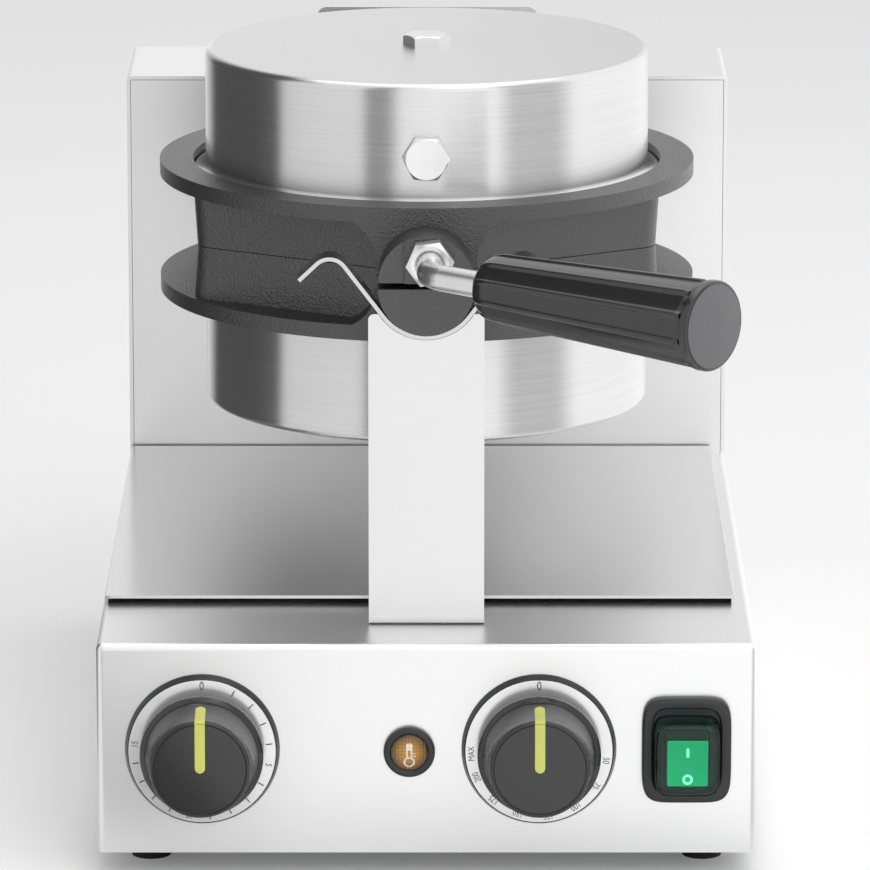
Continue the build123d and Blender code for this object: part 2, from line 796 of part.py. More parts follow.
# Rocker switch under a clear splash cover
switch_plane = Plane(origin=(switch_x, front_y, panel_z), x_dir=(1, 0, 0), z_dir=(0, -1, 0))
cover_plane = switch_plane.offset(switch_bezel - switch_recess)
rocker_pivot = (switch_x, front_y - switch_bezel + rocker_pivot_drop, panel_z - switch_drop)
rocker_side = Plane(origin=rocker_pivot, x_dir=(0, -1, 0), z_dir=(-1, 0, 0))
with BuildPart() as switch_frame:
    with BuildSketch(switch_plane):
        RectangleRounded(switch_width, switch_height, switch_corner_radius)
    extrude(amount=switch_bezel)
    chamfer(switch_frame.faces().sort_by(Axis.Y)[0].edges(), edge_radius)
    with BuildSketch(switch_plane):
        Rectangle(switch_body_width, switch_body_height)
    extrude(amount=-switch_body_depth)
    with BuildSketch(cover_plane):
        RectangleRounded(
            switch_width - 2 * switch_rim, switch_height - 2 * switch_rim, cover_corner_radius
        )
    extrude(amount=switch_recess, mode=Mode.SUBTRACT)
    with BuildSketch(switch_plane.offset(switch_bezel)):
        with Locations((0, -switch_drop)):
            RectangleRounded(switch_window_width, switch_window_height, edge_radius)
    extrude(amount=-(switch_bezel + switch_well), mode=Mode.SUBTRACT)
    with BuildSketch(rocker_side):
        Circle(rocker_pin_radius + running_gap)
    extrude(amount=rocker_pin_reach + sheet_gap, both=True, mode=Mode.SUBTRACT)
write(switch_frame.part, "switch_frame")

with BuildPart() as switch_cover:
    with BuildSketch(cover_plane):
        with Locations((0, -switch_drop)):
            RectangleRounded(cover_width, cover_height, cover_corner_radius)
    extrude(amount=cover_rise, taper=cover_draft)
    chamfer(switch_cover.faces().sort_by(Axis.Y)[0].edges(), cover_crown)
    offset(amount=-cover_wall, openings=switch_cover.faces().sort_by(Axis.Y)[-1])
write(switch_cover.part, "switch_cover")

rocker_crest = rocker_pivot_drop + rocker_rise
rocker_half = rocker_height / 2
rocker_slope = math.tan(math.radians(rocker_tilt)) * rocker_half
with BuildPart() as switch_rocker:
    with BuildSketch(rocker_side):
        with BuildLine():
            Polyline(
                (-rocker_root, -rocker_half * rocker_root_share),
                (0, -rocker_half),
                (rocker_crest + rocker_slope, -rocker_half),
                (rocker_crest, 0),
                (rocker_crest + rocker_slope, rocker_half),
                (0, rocker_half),
                (-rocker_root, rocker_half * rocker_root_share),
                close=True,
            )
        make_face()
    extrude(amount=rocker_width / 2, both=True)
    fillet(switch_rocker.edges().filter_by(Axis.X).group_by(Axis.Y)[0], edge_radius)
    with BuildSketch(rocker_side):
        Circle(rocker_pin_radius)
    extrude(amount=rocker_pin_reach, both=True)
write(switch_rocker.part.rotate(Axis(rocker_pivot, (1, 0, 0)), rocker_tilt), "switch_rocker")

# One pocket of a bubble plate: a dome in flat facets, widest at the web
with BuildPart() as pocket:
    for tilt in bubble_tilts:
        with BuildSketch(Plane.XY.offset(bubble_radius * math.sin(math.radians(tilt)))):
            RegularPolygon(bubble_radius * math.cos(math.radians(tilt)), bubble_sides)
    loft(ruled=True)

# The two halves of the head
for half, outward in (("lower", -1), ("upper", 1)):
    seam, front_view, side_view = half_planes(outward)
    half_axis = Axis(seam_point, (0, 0, outward))
    local_hinge_rise = outward * hinge_rise

    with BuildPart() as carrier:
        with BuildSketch(seam.offset(seam_gap / 2)):
            RegularPolygon(hexagon_apothem, 6, major_radius=False, rotation=30)
        extrude(amount=waist_height - seam_gap / 2, taper=-hexagon_draft)
        fillet(
            carrier.edges().filter_by(lambda edge: abs(edge.tangent_at(0.5).Z) > 0.8),
            hexagon_corner_radius,
        )
        with BuildSketch(seam.offset(waist_height)):
            Circle(flange_radius)
        extrude(amount=flange_thickness)
        with BuildPart():
            with BuildSketch(front_view.offset(lug_root)):
                with BuildLine():
                    Polyline(
                        (-lug_top_half_width, waist_height),
                        (lug_top_half_width, waist_height),
                    )
                    RadiusArc(
                        (lug_top_half_width, waist_height),
                        (lug_half_width, lug_straight),
                        -lug_arc_radius,
                    )
                    Polyline(
                        (lug_half_width, lug_straight),
                        (lug_half_width, seam_gap / 2),
                        (-lug_half_width, seam_gap / 2),
                        (-lug_half_width, lug_straight),
                    )
                    RadiusArc(
                        (-lug_half_width, lug_straight),
                        (-lug_top_half_width, waist_height),
                        -lug_arc_radius,
                    )
                make_face()
            extrude(amount=flange_radius - lug_root)
            with BuildSketch(seam):
                Circle(flange_radius)
            extrude(amount=flange_top, mode=Mode.INTERSECT)
        with BuildSketch(front_view.offset(lug_root)):
            with Locations((0, journal_rise)):
                Circle(journal_radius)
            with Locations((0, journal_split - journal_radius)):
                Rectangle(4 * journal_radius, 2 * journal_radius, mode=Mode.SUBTRACT)
        extrude(amount=journal_reach - lug_root)
        if half == "lower":
            with BuildSketch(side_view.offset(-hinge_block_half_width)):
                with Locations((hinge_back, local_hinge_rise)):
                    Circle(knuckle_radius)
                with BuildLine():
                    Polyline(
                        (hinge_root, seam_gap),
                        (hinge_back - knuckle_radius - hinge_block_lead, seam_gap),
                        (hinge_back - knuckle_radius, local_hinge_rise),
                        (hinge_back, local_hinge_rise - knuckle_flat),
                        (hinge_back + knuckle_radius, local_hinge_rise),
                        (hinge_back + knuckle_radius, hinge_block_tail),
                        (hinge_back, hinge_block_drop),
                        (hinge_root, hinge_block_drop),
                        close=True,
                    )
                make_face()
            extrude(amount=2 * hinge_block_half_width)
            with BuildSketch(front_view.offset(-hinge_back)):
                Circle(boss_radius)
            extrude(amount=-(boss_back - hinge_back))
            with BuildSketch(front_view.offset(-boss_back)):
                Circle(shaft_radius + thread_gap)
            extrude(amount=boss_back - shaft_start, mode=Mode.SUBTRACT)
        else:
            for arm_side in (-arm_outer_x, arm_inner_x):
                with BuildSketch(side_view.offset(arm_side)):
                    with Locations((hinge_back, local_hinge_rise)):
                        Circle(knuckle_radius)
                    with BuildLine():
                        Polyline(
                            (hinge_root, seam_gap * 2),
                            (hinge_back, seam_gap * 2),
                            (hinge_back, local_hinge_rise + knuckle_radius),
                            (hinge_root, local_hinge_rise + knuckle_radius),
                            close=True,
                        )
                    make_face()
                extrude(amount=hinge_arm_width)
            with BuildSketch(front_view.offset(journal_reach)):
                with Locations((journal_step_x - 2 * journal_radius, 0)):
                    Rectangle(4 * journal_radius, 8 * journal_radius)
            extrude(amount=-journal_step, mode=Mode.SUBTRACT)
            with BuildSketch(front_view.offset(journal_reach)):
                with Locations((rod_side, nut_rise)):
                    Circle(bolt_radius + thread_gap)
            extrude(amount=-(rod_depth + inner_gap), mode=Mode.SUBTRACT)
        with BuildSketch(side_view.offset(-arm_outer_x)):
            with Locations((hinge_back, local_hinge_rise)):
                Circle(hinge_pin_radius + running_gap)
        extrude(amount=2 * arm_outer_x, mode=Mode.SUBTRACT)
        with BuildSketch(seam):
            RegularPolygon(plate_apothem + plate_gap, 6, major_radius=False, rotation=30)
            fillet(vertices(), plate_corner_radius + plate_gap)
        extrude(amount=plate_back, mode=Mode.SUBTRACT)
        with BuildSketch(seam.offset(plate_back)):
            Circle(ledge_opening_radius)
        extrude(amount=flange_top, mode=Mode.SUBTRACT)
        with BuildSketch(seam.offset(seat_height)):
            Circle(drum_seat_radius)
        extrude(amount=flange_top, mode=Mode.SUBTRACT)
    write(carrier.part, f"{half}_carrier")

    with BuildPart() as bubble_plate:
        with BuildSketch(seam.offset(web_depth)):
            RegularPolygon(plate_apothem, 6, major_radius=False, rotation=30)
            fillet(vertices(), plate_corner_radius)
        extrude(amount=plate_back - web_depth)
        with BuildSketch(seam.offset(plate_back)):
            Circle(plate_boss_radius)
        extrude(amount=plate_boss_height)
        with BuildSketch(seam.offset(plate_back + plate_boss_height)):
            Circle(bolt_radius + thread_gap)
        extrude(amount=-(thread_depth + inner_gap), mode=Mode.SUBTRACT)
        with Locations(seam.offset(web_depth)):
            with Locations(*bubble_points()):
                add(pocket.part, mode=Mode.SUBTRACT)
    write(bubble_plate.part, f"{half}_bubble_plate")

    with BuildPart() as heater:
        with BuildSketch(front_view):
            with Locations((heater_ring_radius, plate_back + heater_tube_radius + inner_gap / 2)):
                RegularPolygon(heater_tube_radius, 8, major_radius=False, rotation=22.5)
        revolve(axis=half_axis)
    write(heater.part, f"{half}_heater")

    clamp_height = plate_back + plate_boss_height + clamp_gap
    with BuildPart() as clamp_plate:
        with BuildSketch(seam.offset(clamp_height)):
            Circle(clamp_radius)
            Circle(bolt_radius + running_gap, mode=Mode.SUBTRACT)
        extrude(amount=clamp_thickness)
    write(clamp_plate.part, f"{half}_clamp_plate")

    pad_height = clamp_height + clamp_thickness + inner_gap
    with BuildPart() as insulation:
        with BuildSketch(seam.offset(pad_height)):
            Circle(drum_radius - drum_sheet - inner_gap)
            Circle(bolt_radius + inner_gap, mode=Mode.SUBTRACT)
        extrude(amount=drum_end - drum_sheet - inner_gap - pad_height)
        chamfer(
            insulation.edges().filter_by(GeomType.CIRCLE).sort_by(
                lambda edge: outward * edge.center().Z + edge.radius
            )[-1],
            drum_rim_radius,
        )
        if half == "upper":
            with BuildSketch(front_view.offset(drum_radius)):
                with Locations((0, front_bolt_height)):
                    Circle(bolt_flats / 2 + edge_radius)
            extrude(amount=-(front_bolt_grip + drum_sheet + edge_radius), mode=Mode.SUBTRACT)
    write(insulation.part, f"{half}_insulation")

    with BuildPart() as drum:
        with BuildSketch(front_view):
            with BuildLine():
                Polyline(
                    (drum_seat_radius - drum_lip_gap, seat_height),
                    (drum_seat_radius - drum_lip_gap, seat_height + drum_sheet),
                    (drum_radius, seat_height + drum_sheet),
                    (drum_radius, drum_end - drum_rim_radius),
                )
                RadiusArc(
                    (drum_radius, drum_end - drum_rim_radius),
                    (drum_radius - drum_rim_radius, drum_end),
                    -drum_rim_radius,
                )
                Polyline(
                    (drum_radius - drum_rim_radius, drum_end),
                    (bolt_radius + inner_gap, drum_end),
                    (bolt_radius + inner_gap, drum_end - drum_sheet),
                    (drum_radius - drum_rim_radius, drum_end - drum_sheet),
                )
                Polyline(
                    (drum_radius - drum_rim_radius, drum_end - drum_sheet),
                    (drum_radius - drum_sheet, drum_end - drum_rim_radius),
                    (drum_radius - drum_sheet, seat_height),
                    (drum_seat_radius - drum_lip_gap, seat_height),
                )
            make_face()
        revolve(axis=half_axis)
        if half == "upper":
            with BuildSketch(front_view.offset(drum_radius)):
                with Locations((0, front_bolt_height)):
                    Circle(bolt_radius + inner_gap)
            extrude(amount=-4 * drum_sheet, mode=Mode.SUBTRACT)
    write(drum.part, f"{half}_drum")

    with BuildPart() as centre_bolt:
        with BuildSketch(seam.offset(drum_end)):
            RegularPolygon(bolt_flats / 2, 6, major_radius=False)
        extrude(amount=centre_bolt_head)
        chamfer(
            centre_bolt.faces().sort_by(lambda face: outward * face.center().Z)[-1].edges(),
            hex_chamfer,
        )
        with BuildSketch(seam.offset(drum_end)):
            Circle(bolt_radius)
        extrude(amount=-(drum_end - plate_back - plate_boss_height + thread_depth))
    write(centre_bolt.part, f"{half}_centre_bolt")

# Bolt through the front of the upper drum, with its nut inside
with BuildPart() as front_bolt:
    with BuildSketch(head_front_view.offset(drum_radius)):
        with Locations((0, front_bolt_height)):
            RegularPolygon(bolt_flats / 2, 6, major_radius=False)
    extrude(amount=bolt_head_height)
    chamfer(front_bolt.faces().sort_by(Axis.Y)[0].edges(), hex_chamfer)
    with BuildSketch(head_front_view.offset(drum_radius)):
        with Locations((0, front_bolt_height)):
            Circle(bolt_radius)
    extrude(amount=-front_bolt_grip)
write(front_bolt.part, "upper_front_bolt")

# Hinge pin with a head at each end
with BuildPart() as hinge_pin:
    with BuildSketch(Plane(origin=(-arm_outer_x, hinge_y, hinge_z), x_dir=(0, 1, 0), z_dir=(1, 0, 0))):
        Circle(hinge_pin_radius)
    extrude(amount=2 * arm_outer_x)
    for end_x in (-arm_outer_x - hinge_pin_head - inner_gap, arm_outer_x + inner_gap):
        with BuildSketch(Plane(origin=(end_x, hinge_y, hinge_z), x_dir=(0, 1, 0), z_dir=(1, 0, 0))):
            Circle(hinge_pin_head_radius)
        extrude(amount=hinge_pin_head)
    with BuildSketch(
        Plane(
            origin=(-arm_outer_x - hinge_pin_head, hinge_y, hinge_z),
            x_dir=(0, 1, 0),
            z_dir=(1, 0, 0),
        )
    ):
        Circle(hinge_pin_radius)
    extrude(amount=2 * (arm_outer_x + hinge_pin_head))
write(hinge_pin.part, "hinge_pin")

# Hollow turning shaft, its bearing in the column and the collar behind it
with BuildPart() as turning_shaft:
    with BuildSketch(head_front_view.offset(-shaft_start - inner_gap)):
        Circle(shaft_radius)
        Circle(shaft_bore_radius, mode=Mode.SUBTRACT)
    extrude(amount=-(shaft_end - shaft_start - inner_gap))
write(turning_shaft.part, "turning_shaft")

with BuildPart() as bearing_housing:
    with BuildSketch(Plane.XZ.offset(-column_y - sheet)):
        with Locations((0, axis_height)):
            RectangleRounded(housing_width, housing_width, fold_radius)
            Circle(bush_radius + thread_gap, mode=Mode.SUBTRACT)
    extrude(amount=-housing_depth)
write(bearing_housing.part, "bearing_housing")

with BuildPart() as bearing_bush:
    with BuildSketch(Plane.XZ.offset(-column_y)):
        with Locations((0, axis_height)):
            Circle(bush_radius)
            Circle(shaft_radius + running_gap, mode=Mode.SUBTRACT)
    extrude(amount=-(sheet + housing_depth))
    with BuildSketch(Plane.XZ.offset(-column_y)):
        with Locations((0, axis_height)):
            Circle(escutcheon_radius)
            Circle(shaft_radius + running_gap, mode=Mode.SUBTRACT)
    extrude(amount=escutcheon_thickness)
    chamfer(bearing_bush.faces().sort_by(Axis.Y)[0].edges().sort_by(SortBy.RADIUS)[-1], edge_radius)
write(bearing_bush.part, "bearing_bush")

with BuildPart() as shaft_collar:
    with BuildSketch(Plane.XZ.offset(-column_y - sheet - housing_depth - collar_play)):
        with Locations((0, axis_height)):
            Circle(collar_radius)
            Circle(shaft_radius + thread_gap, mode=Mode.SUBTRACT)
    extrude(amount=-collar_width)
    chamfer(shaft_collar.edges().filter_by(GeomType.CIRCLE).sort_by(SortBy.RADIUS)[-2:], hex_chamfer)
write(shaft_collar.part, "shaft_collar")

# Handle: cranked rod, lock nut, fluted grip and end cap
rod_z = axis_height + nut_rise
journal_face_y = head_y - journal_reach
rod_corner = (rod_side, journal_face_y - rod_reach, rod_z)


def along_handle(distance):
    """A point on the handle's axis, measured from the corner of the cranked rod."""
    return (
        rod_corner[0] + distance * handle_cos,
        rod_corner[1] - distance * handle_sin,
        rod_z,
    )


def handle_plane(distance):
    """The plane square to the handle at that distance, with its own y axis up."""
    return Plane(
        origin=along_handle(distance),
        x_dir=(handle_sin, handle_cos, 0),
        z_dir=(handle_cos, -handle_sin, 0),
    )


def fluted_outline(radius):
    """Corners of one section of the grip: flat flutes with a narrow rib between each two."""
    step = 360 / grip_flutes
    corners = []
    for flute in range(grip_flutes):
        middle = math.radians(grip_turn + flute * step)
        for side in (-1, 1):
            angle = middle + side * math.radians(step * grip_rib_share / 2)
            corners.append((radius * math.cos(angle), radius * math.sin(angle)))
    return corners


with BuildPart() as handle_rod:
    with BuildLine(Plane.XY.offset(rod_z)):
        FilletPolyline(
            (rod_side, journal_face_y + rod_depth),
            rod_corner[:2],
            along_handle(grip_start + grip_bore_depth - inner_gap)[:2],
            radius=rod_bend_radius,
        )
    with BuildSketch(
        Plane(origin=(rod_side, journal_face_y + rod_depth, rod_z), x_dir=(1, 0, 0), z_dir=(0, -1, 0))
    ):
        Circle(bolt_radius)
    sweep()
write(handle_rod.part, "handle_rod")

with BuildPart() as handle_nut:
    with BuildSketch(head_front_view.offset(journal_reach)):
        with Locations((rod_side, nut_rise)):
            RegularPolygon(bolt_flats / 2, 6, major_radius=False, rotation=nut_turn)
    extrude(amount=nut_height)
    chamfer(handle_nut.faces().sort_by(Axis.Y)[0].edges(), hex_chamfer)
    with BuildSketch(head_front_view.offset(journal_reach)):
        with Locations((rod_side, nut_rise)):
            Circle(bolt_radius + thread_gap)
    extrude(amount=nut_height, mode=Mode.SUBTRACT)
write(handle_nut.part, "handle_nut")

with BuildPart() as handle_grip:
    for start, end, start_radius, end_radius in (
        (0, grip_nose, grip_start_radius - grip_nose_drop, grip_start_radius),
        (grip_nose, grip_length, grip_start_radius, grip_end_radius),
    ):
        with BuildSketch(handle_plane(grip_start + start)):
            Polygon(*fluted_outline(start_radius), align=None)
        with BuildSketch(handle_plane(grip_start + end)):
            Polygon(*fluted_outline(end_radius), align=None)
        loft(ruled=True)
    with BuildSketch(handle_plane(grip_start)):
        Circle(bolt_radius + thread_gap)
    extrude(amount=grip_bore_depth, mode=Mode.SUBTRACT)
    with BuildSketch(handle_plane(grip_start + grip_length)):
        Circle(cap_spigot_radius + thread_gap)
    extrude(amount=-(cap_spigot + inner_gap), mode=Mode.SUBTRACT)
write(handle_grip.part, "handle_grip")

with BuildPart() as handle_cap:
    with BuildSketch(handle_plane(grip_start + grip_length - cap_spigot)):
        Circle(cap_spigot_radius)
    extrude(amount=cap_spigot)
    with BuildSketch(handle_plane(grip_start + grip_length)):
        Circle(cap_neck_radius)
    extrude(amount=cap_neck)
    with BuildSketch(handle_plane(grip_start + grip_length + cap_neck)):
        Circle(cap_radius)
    extrude(amount=cap_thickness)
    chamfer(
        handle_cap.edges().filter_by(GeomType.CIRCLE).sort_by(SortBy.RADIUS)[-2:],
        cap_rounding,
    )
write(handle_cap.part, "handle_cap")
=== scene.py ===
"""Bubble waffle maker: finishes, fine pieces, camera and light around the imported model."""

import json
import logging
import math
from dataclasses import dataclass, field, replace
from enum import Enum
from typing import Sequence

import bmesh
import bpy
import numpy as np
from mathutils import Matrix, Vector


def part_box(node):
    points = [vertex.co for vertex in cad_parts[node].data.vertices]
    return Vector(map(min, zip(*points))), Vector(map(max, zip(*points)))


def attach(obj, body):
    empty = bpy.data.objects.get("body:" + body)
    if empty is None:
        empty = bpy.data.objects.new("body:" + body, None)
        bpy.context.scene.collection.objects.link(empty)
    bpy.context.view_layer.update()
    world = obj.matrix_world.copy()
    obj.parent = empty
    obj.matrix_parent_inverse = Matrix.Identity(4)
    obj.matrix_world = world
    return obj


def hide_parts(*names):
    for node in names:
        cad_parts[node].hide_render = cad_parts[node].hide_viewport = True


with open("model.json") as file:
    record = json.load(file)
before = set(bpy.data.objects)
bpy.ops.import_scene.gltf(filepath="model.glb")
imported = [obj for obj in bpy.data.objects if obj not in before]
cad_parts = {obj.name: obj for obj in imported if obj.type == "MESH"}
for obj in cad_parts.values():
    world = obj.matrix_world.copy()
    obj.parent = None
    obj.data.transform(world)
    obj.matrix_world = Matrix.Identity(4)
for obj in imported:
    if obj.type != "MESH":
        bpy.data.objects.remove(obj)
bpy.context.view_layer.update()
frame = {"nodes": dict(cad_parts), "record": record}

MM = 0.001
PHOTO_SIDE = 870
MERGE = 2e-7
ROD_REACH = 27.7 * MM
HALVES = ("lower", "upper")

Socket = bpy.types.NodeSocket
Triple = tuple[float, float, float]

log = logging.getLogger("waffle_maker")


class Grain(Enum):
    """Which way the brush lines of a steel sheet run."""

    ACROSS = (0.03, 1.0, 1.0)
    NONE = (1.0, 1.0, 1.0)


def grey(value: float) -> Triple:
    """A neutral colour."""
    return (value, value, value)


class NodeDesk:
    """A small helper that adds and links shader nodes inside one node tree."""

    def __init__(self, tree: bpy.types.NodeTree) -> None:
        """Keep the tree that nodes are added to."""
        self.tree = tree

    def add(self, kind: str, **settings: object) -> bpy.types.Node:
        """Add one node and set its own settings.

        Args:
            kind: the node's class name, without the leading ShaderNode.
            settings: attributes of the node.

        Returns:
            The new node.
        """
        node = self.tree.nodes.new("ShaderNode" + kind)
        for name, value in settings.items():
            setattr(node, name, value)
        return node

    def join(self, source: Socket, target: Socket) -> None:
        """Link an output to an input."""
        self.tree.links.new(source, target)

    def feed(self, node: bpy.types.Node, values: dict[int | str, object]) -> None:
        """Give a node's inputs their values.

        Args:
            node: the node.
            values: by each input's name or number, a socket to link or a plain value.
        """
        for title, value in values.items():
            if isinstance(value, Socket):
                self.join(value, node.inputs[title])
            else:
                node.inputs[title].default_value = value

    def math(self, operation: str, *values: float | Socket) -> Socket:
        """Add a Math node.

        Args:
            operation: the node's operation.
            values: a number or an output socket for each of its inputs.

        Returns:
            The result's socket.
        """
        node = self.add("Math", operation=operation)
        self.feed(node, dict(enumerate(values)))
        return node.outputs[0]

    def blend(self, share: Socket, first: Triple | Socket, second: Triple | Socket) -> Socket:
        """Mix two colours by a share.

        Args:
            share: socket that is 0 for the first colour and 1 for the second.
            first: a colour or an output socket.
            second: a colour or an output socket.

        Returns:
            The mixed colour's socket.
        """
        node = self.add("Mix", data_type="RGBA")
        pair = [value if isinstance(value, Socket) else (*value, 1.0) for value in (first, second)]
        self.feed(node, {0: share, 6: pair[0], 7: pair[1]})
        return node.outputs[2]

    def noise(self, vector: Socket, scale: float | Socket, detail: float, rough: float = 0.5) -> Socket:
        """Add a noise texture.

        Args:
            vector: its coordinates.
            scale: its scale.
            detail: how many finer layers it has.
            rough: how strong the finer layers are.

        Returns:
            The socket of its factor.
        """
        node = self.add("TexNoise")
        self.feed(node, {"Vector": vector, "Scale": scale, "Detail": detail, "Roughness": rough})
        return node.outputs["Fac"]

    def mapped(self, vector: Socket, title: str, value: Triple) -> Socket:
        """Move or stretch coordinates.

        Args:
            vector: the coordinates.
            title: Location to move them, or Scale to stretch them.
            value: the move in metres, or the factors.

        Returns:
            The new coordinates.
        """
        node = self.add("Mapping")
        self.feed(node, {"Vector": vector, title: value})
        return node.outputs[0]


def open_group(
    name: str, size: str, outputs: Sequence[str]
) -> tuple[NodeDesk, bpy.types.Node, bpy.types.Node]:
    """Make an empty shader node group with a vector, one size and float outputs.

    Args:
        name: the group's name.
        size: name of the size input.
        outputs: output names.

    Returns:
        The group's node helper, its entry node and its exit node.
    """
    group = bpy.data.node_groups.new(name, "ShaderNodeTree")
    group.interface.new_socket("Vector", in_out="INPUT", socket_type="NodeSocketVector")
    group.interface.new_socket(size, in_out="INPUT", socket_type="NodeSocketFloat")
    for title in outputs:
        group.interface.new_socket(title, in_out="OUTPUT", socket_type="NodeSocketFloat")
    return NodeDesk(group), group.nodes.new("NodeGroupInput"), group.nodes.new("NodeGroupOutput")


class SharedGroups:
    """Node groups that several finishes use, each built once."""

    LINE_DETAIL, LINE_ROUGHNESS, CLOUD_DETAIL = 3.0, 0.65, 2.0
    TURN_SHARE = 0.0012
    PATCH_DETAIL, SPECK_DETAIL, SPECK_FINENESS = 4.0, 2.0, 40.0
    CELL_SHARE, GRAIN_FINENESS, GRAIN_DETAIL, GRAIN_ROUGHNESS = 0.6, 0.6, 5.0, 0.7

    def __init__(self) -> None:
        """Build the groups."""
        self.brush = self._lines("brush_lines", 14.0, False)
        self.spun = self._lines("spun_lines", 40.0, True)
        self.mottle = self._mottle()
        self.grit = self._grit()

    def _lines(self, name: str, cloud: float, spun: bool) -> bpy.types.NodeTree:
        """Polishing lines: fine noise, and a slow cloud over it.

        Args:
            name: the group's name.
            cloud: scale of the slow cloud.
            spun: whether the lines run round the Z axis.

        Returns:
            The group.
        """
        desk, entry, leave = open_group(name, "Density", ("Line", "Cloud"))
        vector = entry.outputs["Vector"]
        if spun:
            vector = self._polar(desk, vector)
        line = desk.noise(vector, entry.outputs["Density"], self.LINE_DETAIL, self.LINE_ROUGHNESS)
        desk.feed(leave, {"Line": line, "Cloud": desk.noise(vector, cloud, self.CLOUD_DETAIL)})
        return desk.tree

    def _polar(self, desk: NodeDesk, vector: Socket) -> Socket:
        """Radius, height and a little of the angle about the Z axis.

        Args:
            desk: the group's node helper.
            vector: the coordinates.

        Returns:
            The new coordinates.
        """
        parts = desk.add("SeparateXYZ")
        desk.join(vector, parts.inputs[0])
        across, ahead, rise = parts.outputs
        squares = [desk.math("MULTIPLY", part, part) for part in (across, ahead)]
        angle = desk.math("ARCTAN2", across, desk.math("MULTIPLY", ahead, -1.0))
        ring = desk.add("CombineXYZ")
        radius = desk.math("SQRT", desk.math("ADD", *squares))
        desk.feed(ring, {0: radius, 1: rise, 2: desk.math("MULTIPLY", angle, self.TURN_SHARE)})
        return ring.outputs[0]

    def _mottle(self) -> bpy.types.NodeTree:
        """Soft uneven patches, such as handling marks and slight dust.

        Returns:
            The group.
        """
        desk, entry, leave = open_group("mottle", "Scale", ("Patch", "Speck"))
        vector, scale = entry.outputs["Vector"], entry.outputs["Scale"]
        speck = desk.noise(vector, desk.math("MULTIPLY", scale, self.SPECK_FINENESS), self.SPECK_DETAIL)
        desk.feed(leave, {"Patch": desk.noise(vector, scale, self.PATCH_DETAIL), "Speck": speck})
        return desk.tree

    def _grit(self) -> bpy.types.NodeTree:
        """Sand-cast grit: rounded cells under fine noise.

        Returns:
            The group.
        """
        desk, entry, leave = open_group("grit", "Scale", ("Height", "Grain"))
        vector, scale = entry.outputs["Vector"], entry.outputs["Scale"]
        cells = desk.add("TexVoronoi", feature="SMOOTH_F1")
        desk.feed(cells, {"Vector": vector, "Scale": scale})
        fine = desk.math("MULTIPLY", scale, self.GRAIN_FINENESS)
        grain = desk.noise(vector, fine, self.GRAIN_DETAIL, self.GRAIN_ROUGHNESS)
        height = desk.math("ADD", desk.math("MULTIPLY", cells.outputs["Distance"], self.CELL_SHARE), grain)
        desk.feed(leave, {"Height": height, "Grain": grain})
        return desk.tree


def bare_material(name: str) -> tuple[bpy.types.Material, NodeDesk, Socket]:
    """Make a material with only its output node.

    Args:
        name: the material's name.

    Returns:
        The material, its node helper and the socket of its surface.
    """
    material = bpy.data.materials.new(name)
    material.use_nodes = True
    material.node_tree.nodes.clear()
    desk = NodeDesk(material.node_tree)
    return material, desk, desk.add("OutputMaterial").inputs["Surface"]


class Paint:
    """A material at work: its node helper, its Principled shader and Object coordinates."""

    def __init__(self, name: str, colour: Triple, groups: SharedGroups) -> None:
        """Make the material with its plain colour.

        Args:
            name: the material's name.
            colour: its base colour, in linear values.
            groups: the shared node groups.
        """
        self.colour, self.groups = colour, groups
        self.material, self.desk, surface = bare_material(name)
        self.shader = self.desk.add("BsdfPrincipled")
        self.desk.join(self.shader.outputs[0], surface)
        self.place = self.desk.add("TexCoord").outputs["Object"]
        self.settle({"Base Color": (*colour, 1.0)})

    def settle(self, values: dict[int | str, object]) -> None:
        """Give the shader's inputs their values or sockets."""
        self.desk.feed(self.shader, values)

    def tint(self, factor: float) -> Triple:
        """The base colour made lighter or darker by a factor."""
        return tuple(min(1.0, part * factor) for part in self.colour)

    def texture(self, tree: bpy.types.NodeTree, size: float, place: Socket | None = None) -> bpy.types.Node:
        """Place a shared node group.

        Args:
            tree: the group.
            size: its scale or density.
            place: its coordinates, where they aren't the plain Object coordinates.

        Returns:
            The group's node.
        """
        node = self.desk.add("Group")
        node.node_tree = tree
        self.desk.feed(node, {0: self.place if place is None else place, 1: size})
        return node

    def shade(self, share: Socket, low: float, high: float) -> Socket:
        """The base colour, tinted between two factors by a share."""
        return self.desk.blend(share, self.tint(low), self.tint(high))

    def vary_roughness(self, share: Socket, swing: float, least: float) -> None:
        """Let the roughness rise from its least value by a share of a swing."""
        swung = self.desk.math("MULTIPLY", share, swing)
        self.settle({"Roughness": self.desk.math("ADD", swung, least)})

    def polish(self, lines: bpy.types.Node, contrast: float, cloud: float) -> Socket:
        """Colour of metal with polishing lines.

        Args:
            lines: node of a group of lines.
            contrast: how far the lines and the cloud change the colour.
            cloud: how much of the slow cloud shows.

        Returns:
            The socket of the lines, as differences from their middle.
        """
        colour = self.shade(lines.outputs["Line"], 1 - contrast, 1 + contrast)
        patch = self.desk.math("MULTIPLY", lines.outputs["Cloud"], cloud)
        self.settle({"Base Color": self.desk.blend(patch, colour, self.tint(1 - contrast)), "Metallic": 1.0})
        return self.desk.math("SUBTRACT", lines.outputs["Line"], 0.5)

    def bump(self, height: Socket, strength: float, distance: float) -> None:
        """Feed a height into the shader's normal.

        Args:
            height: the height's socket.
            strength: share of the bump that shows.
            distance: height of a full step, in metres.
        """
        node = self.desk.add("Bump")
        self.desk.feed(node, {"Strength": strength, "Distance": distance, "Height": height})
        self.settle({"Normal": node.outputs["Normal"]})


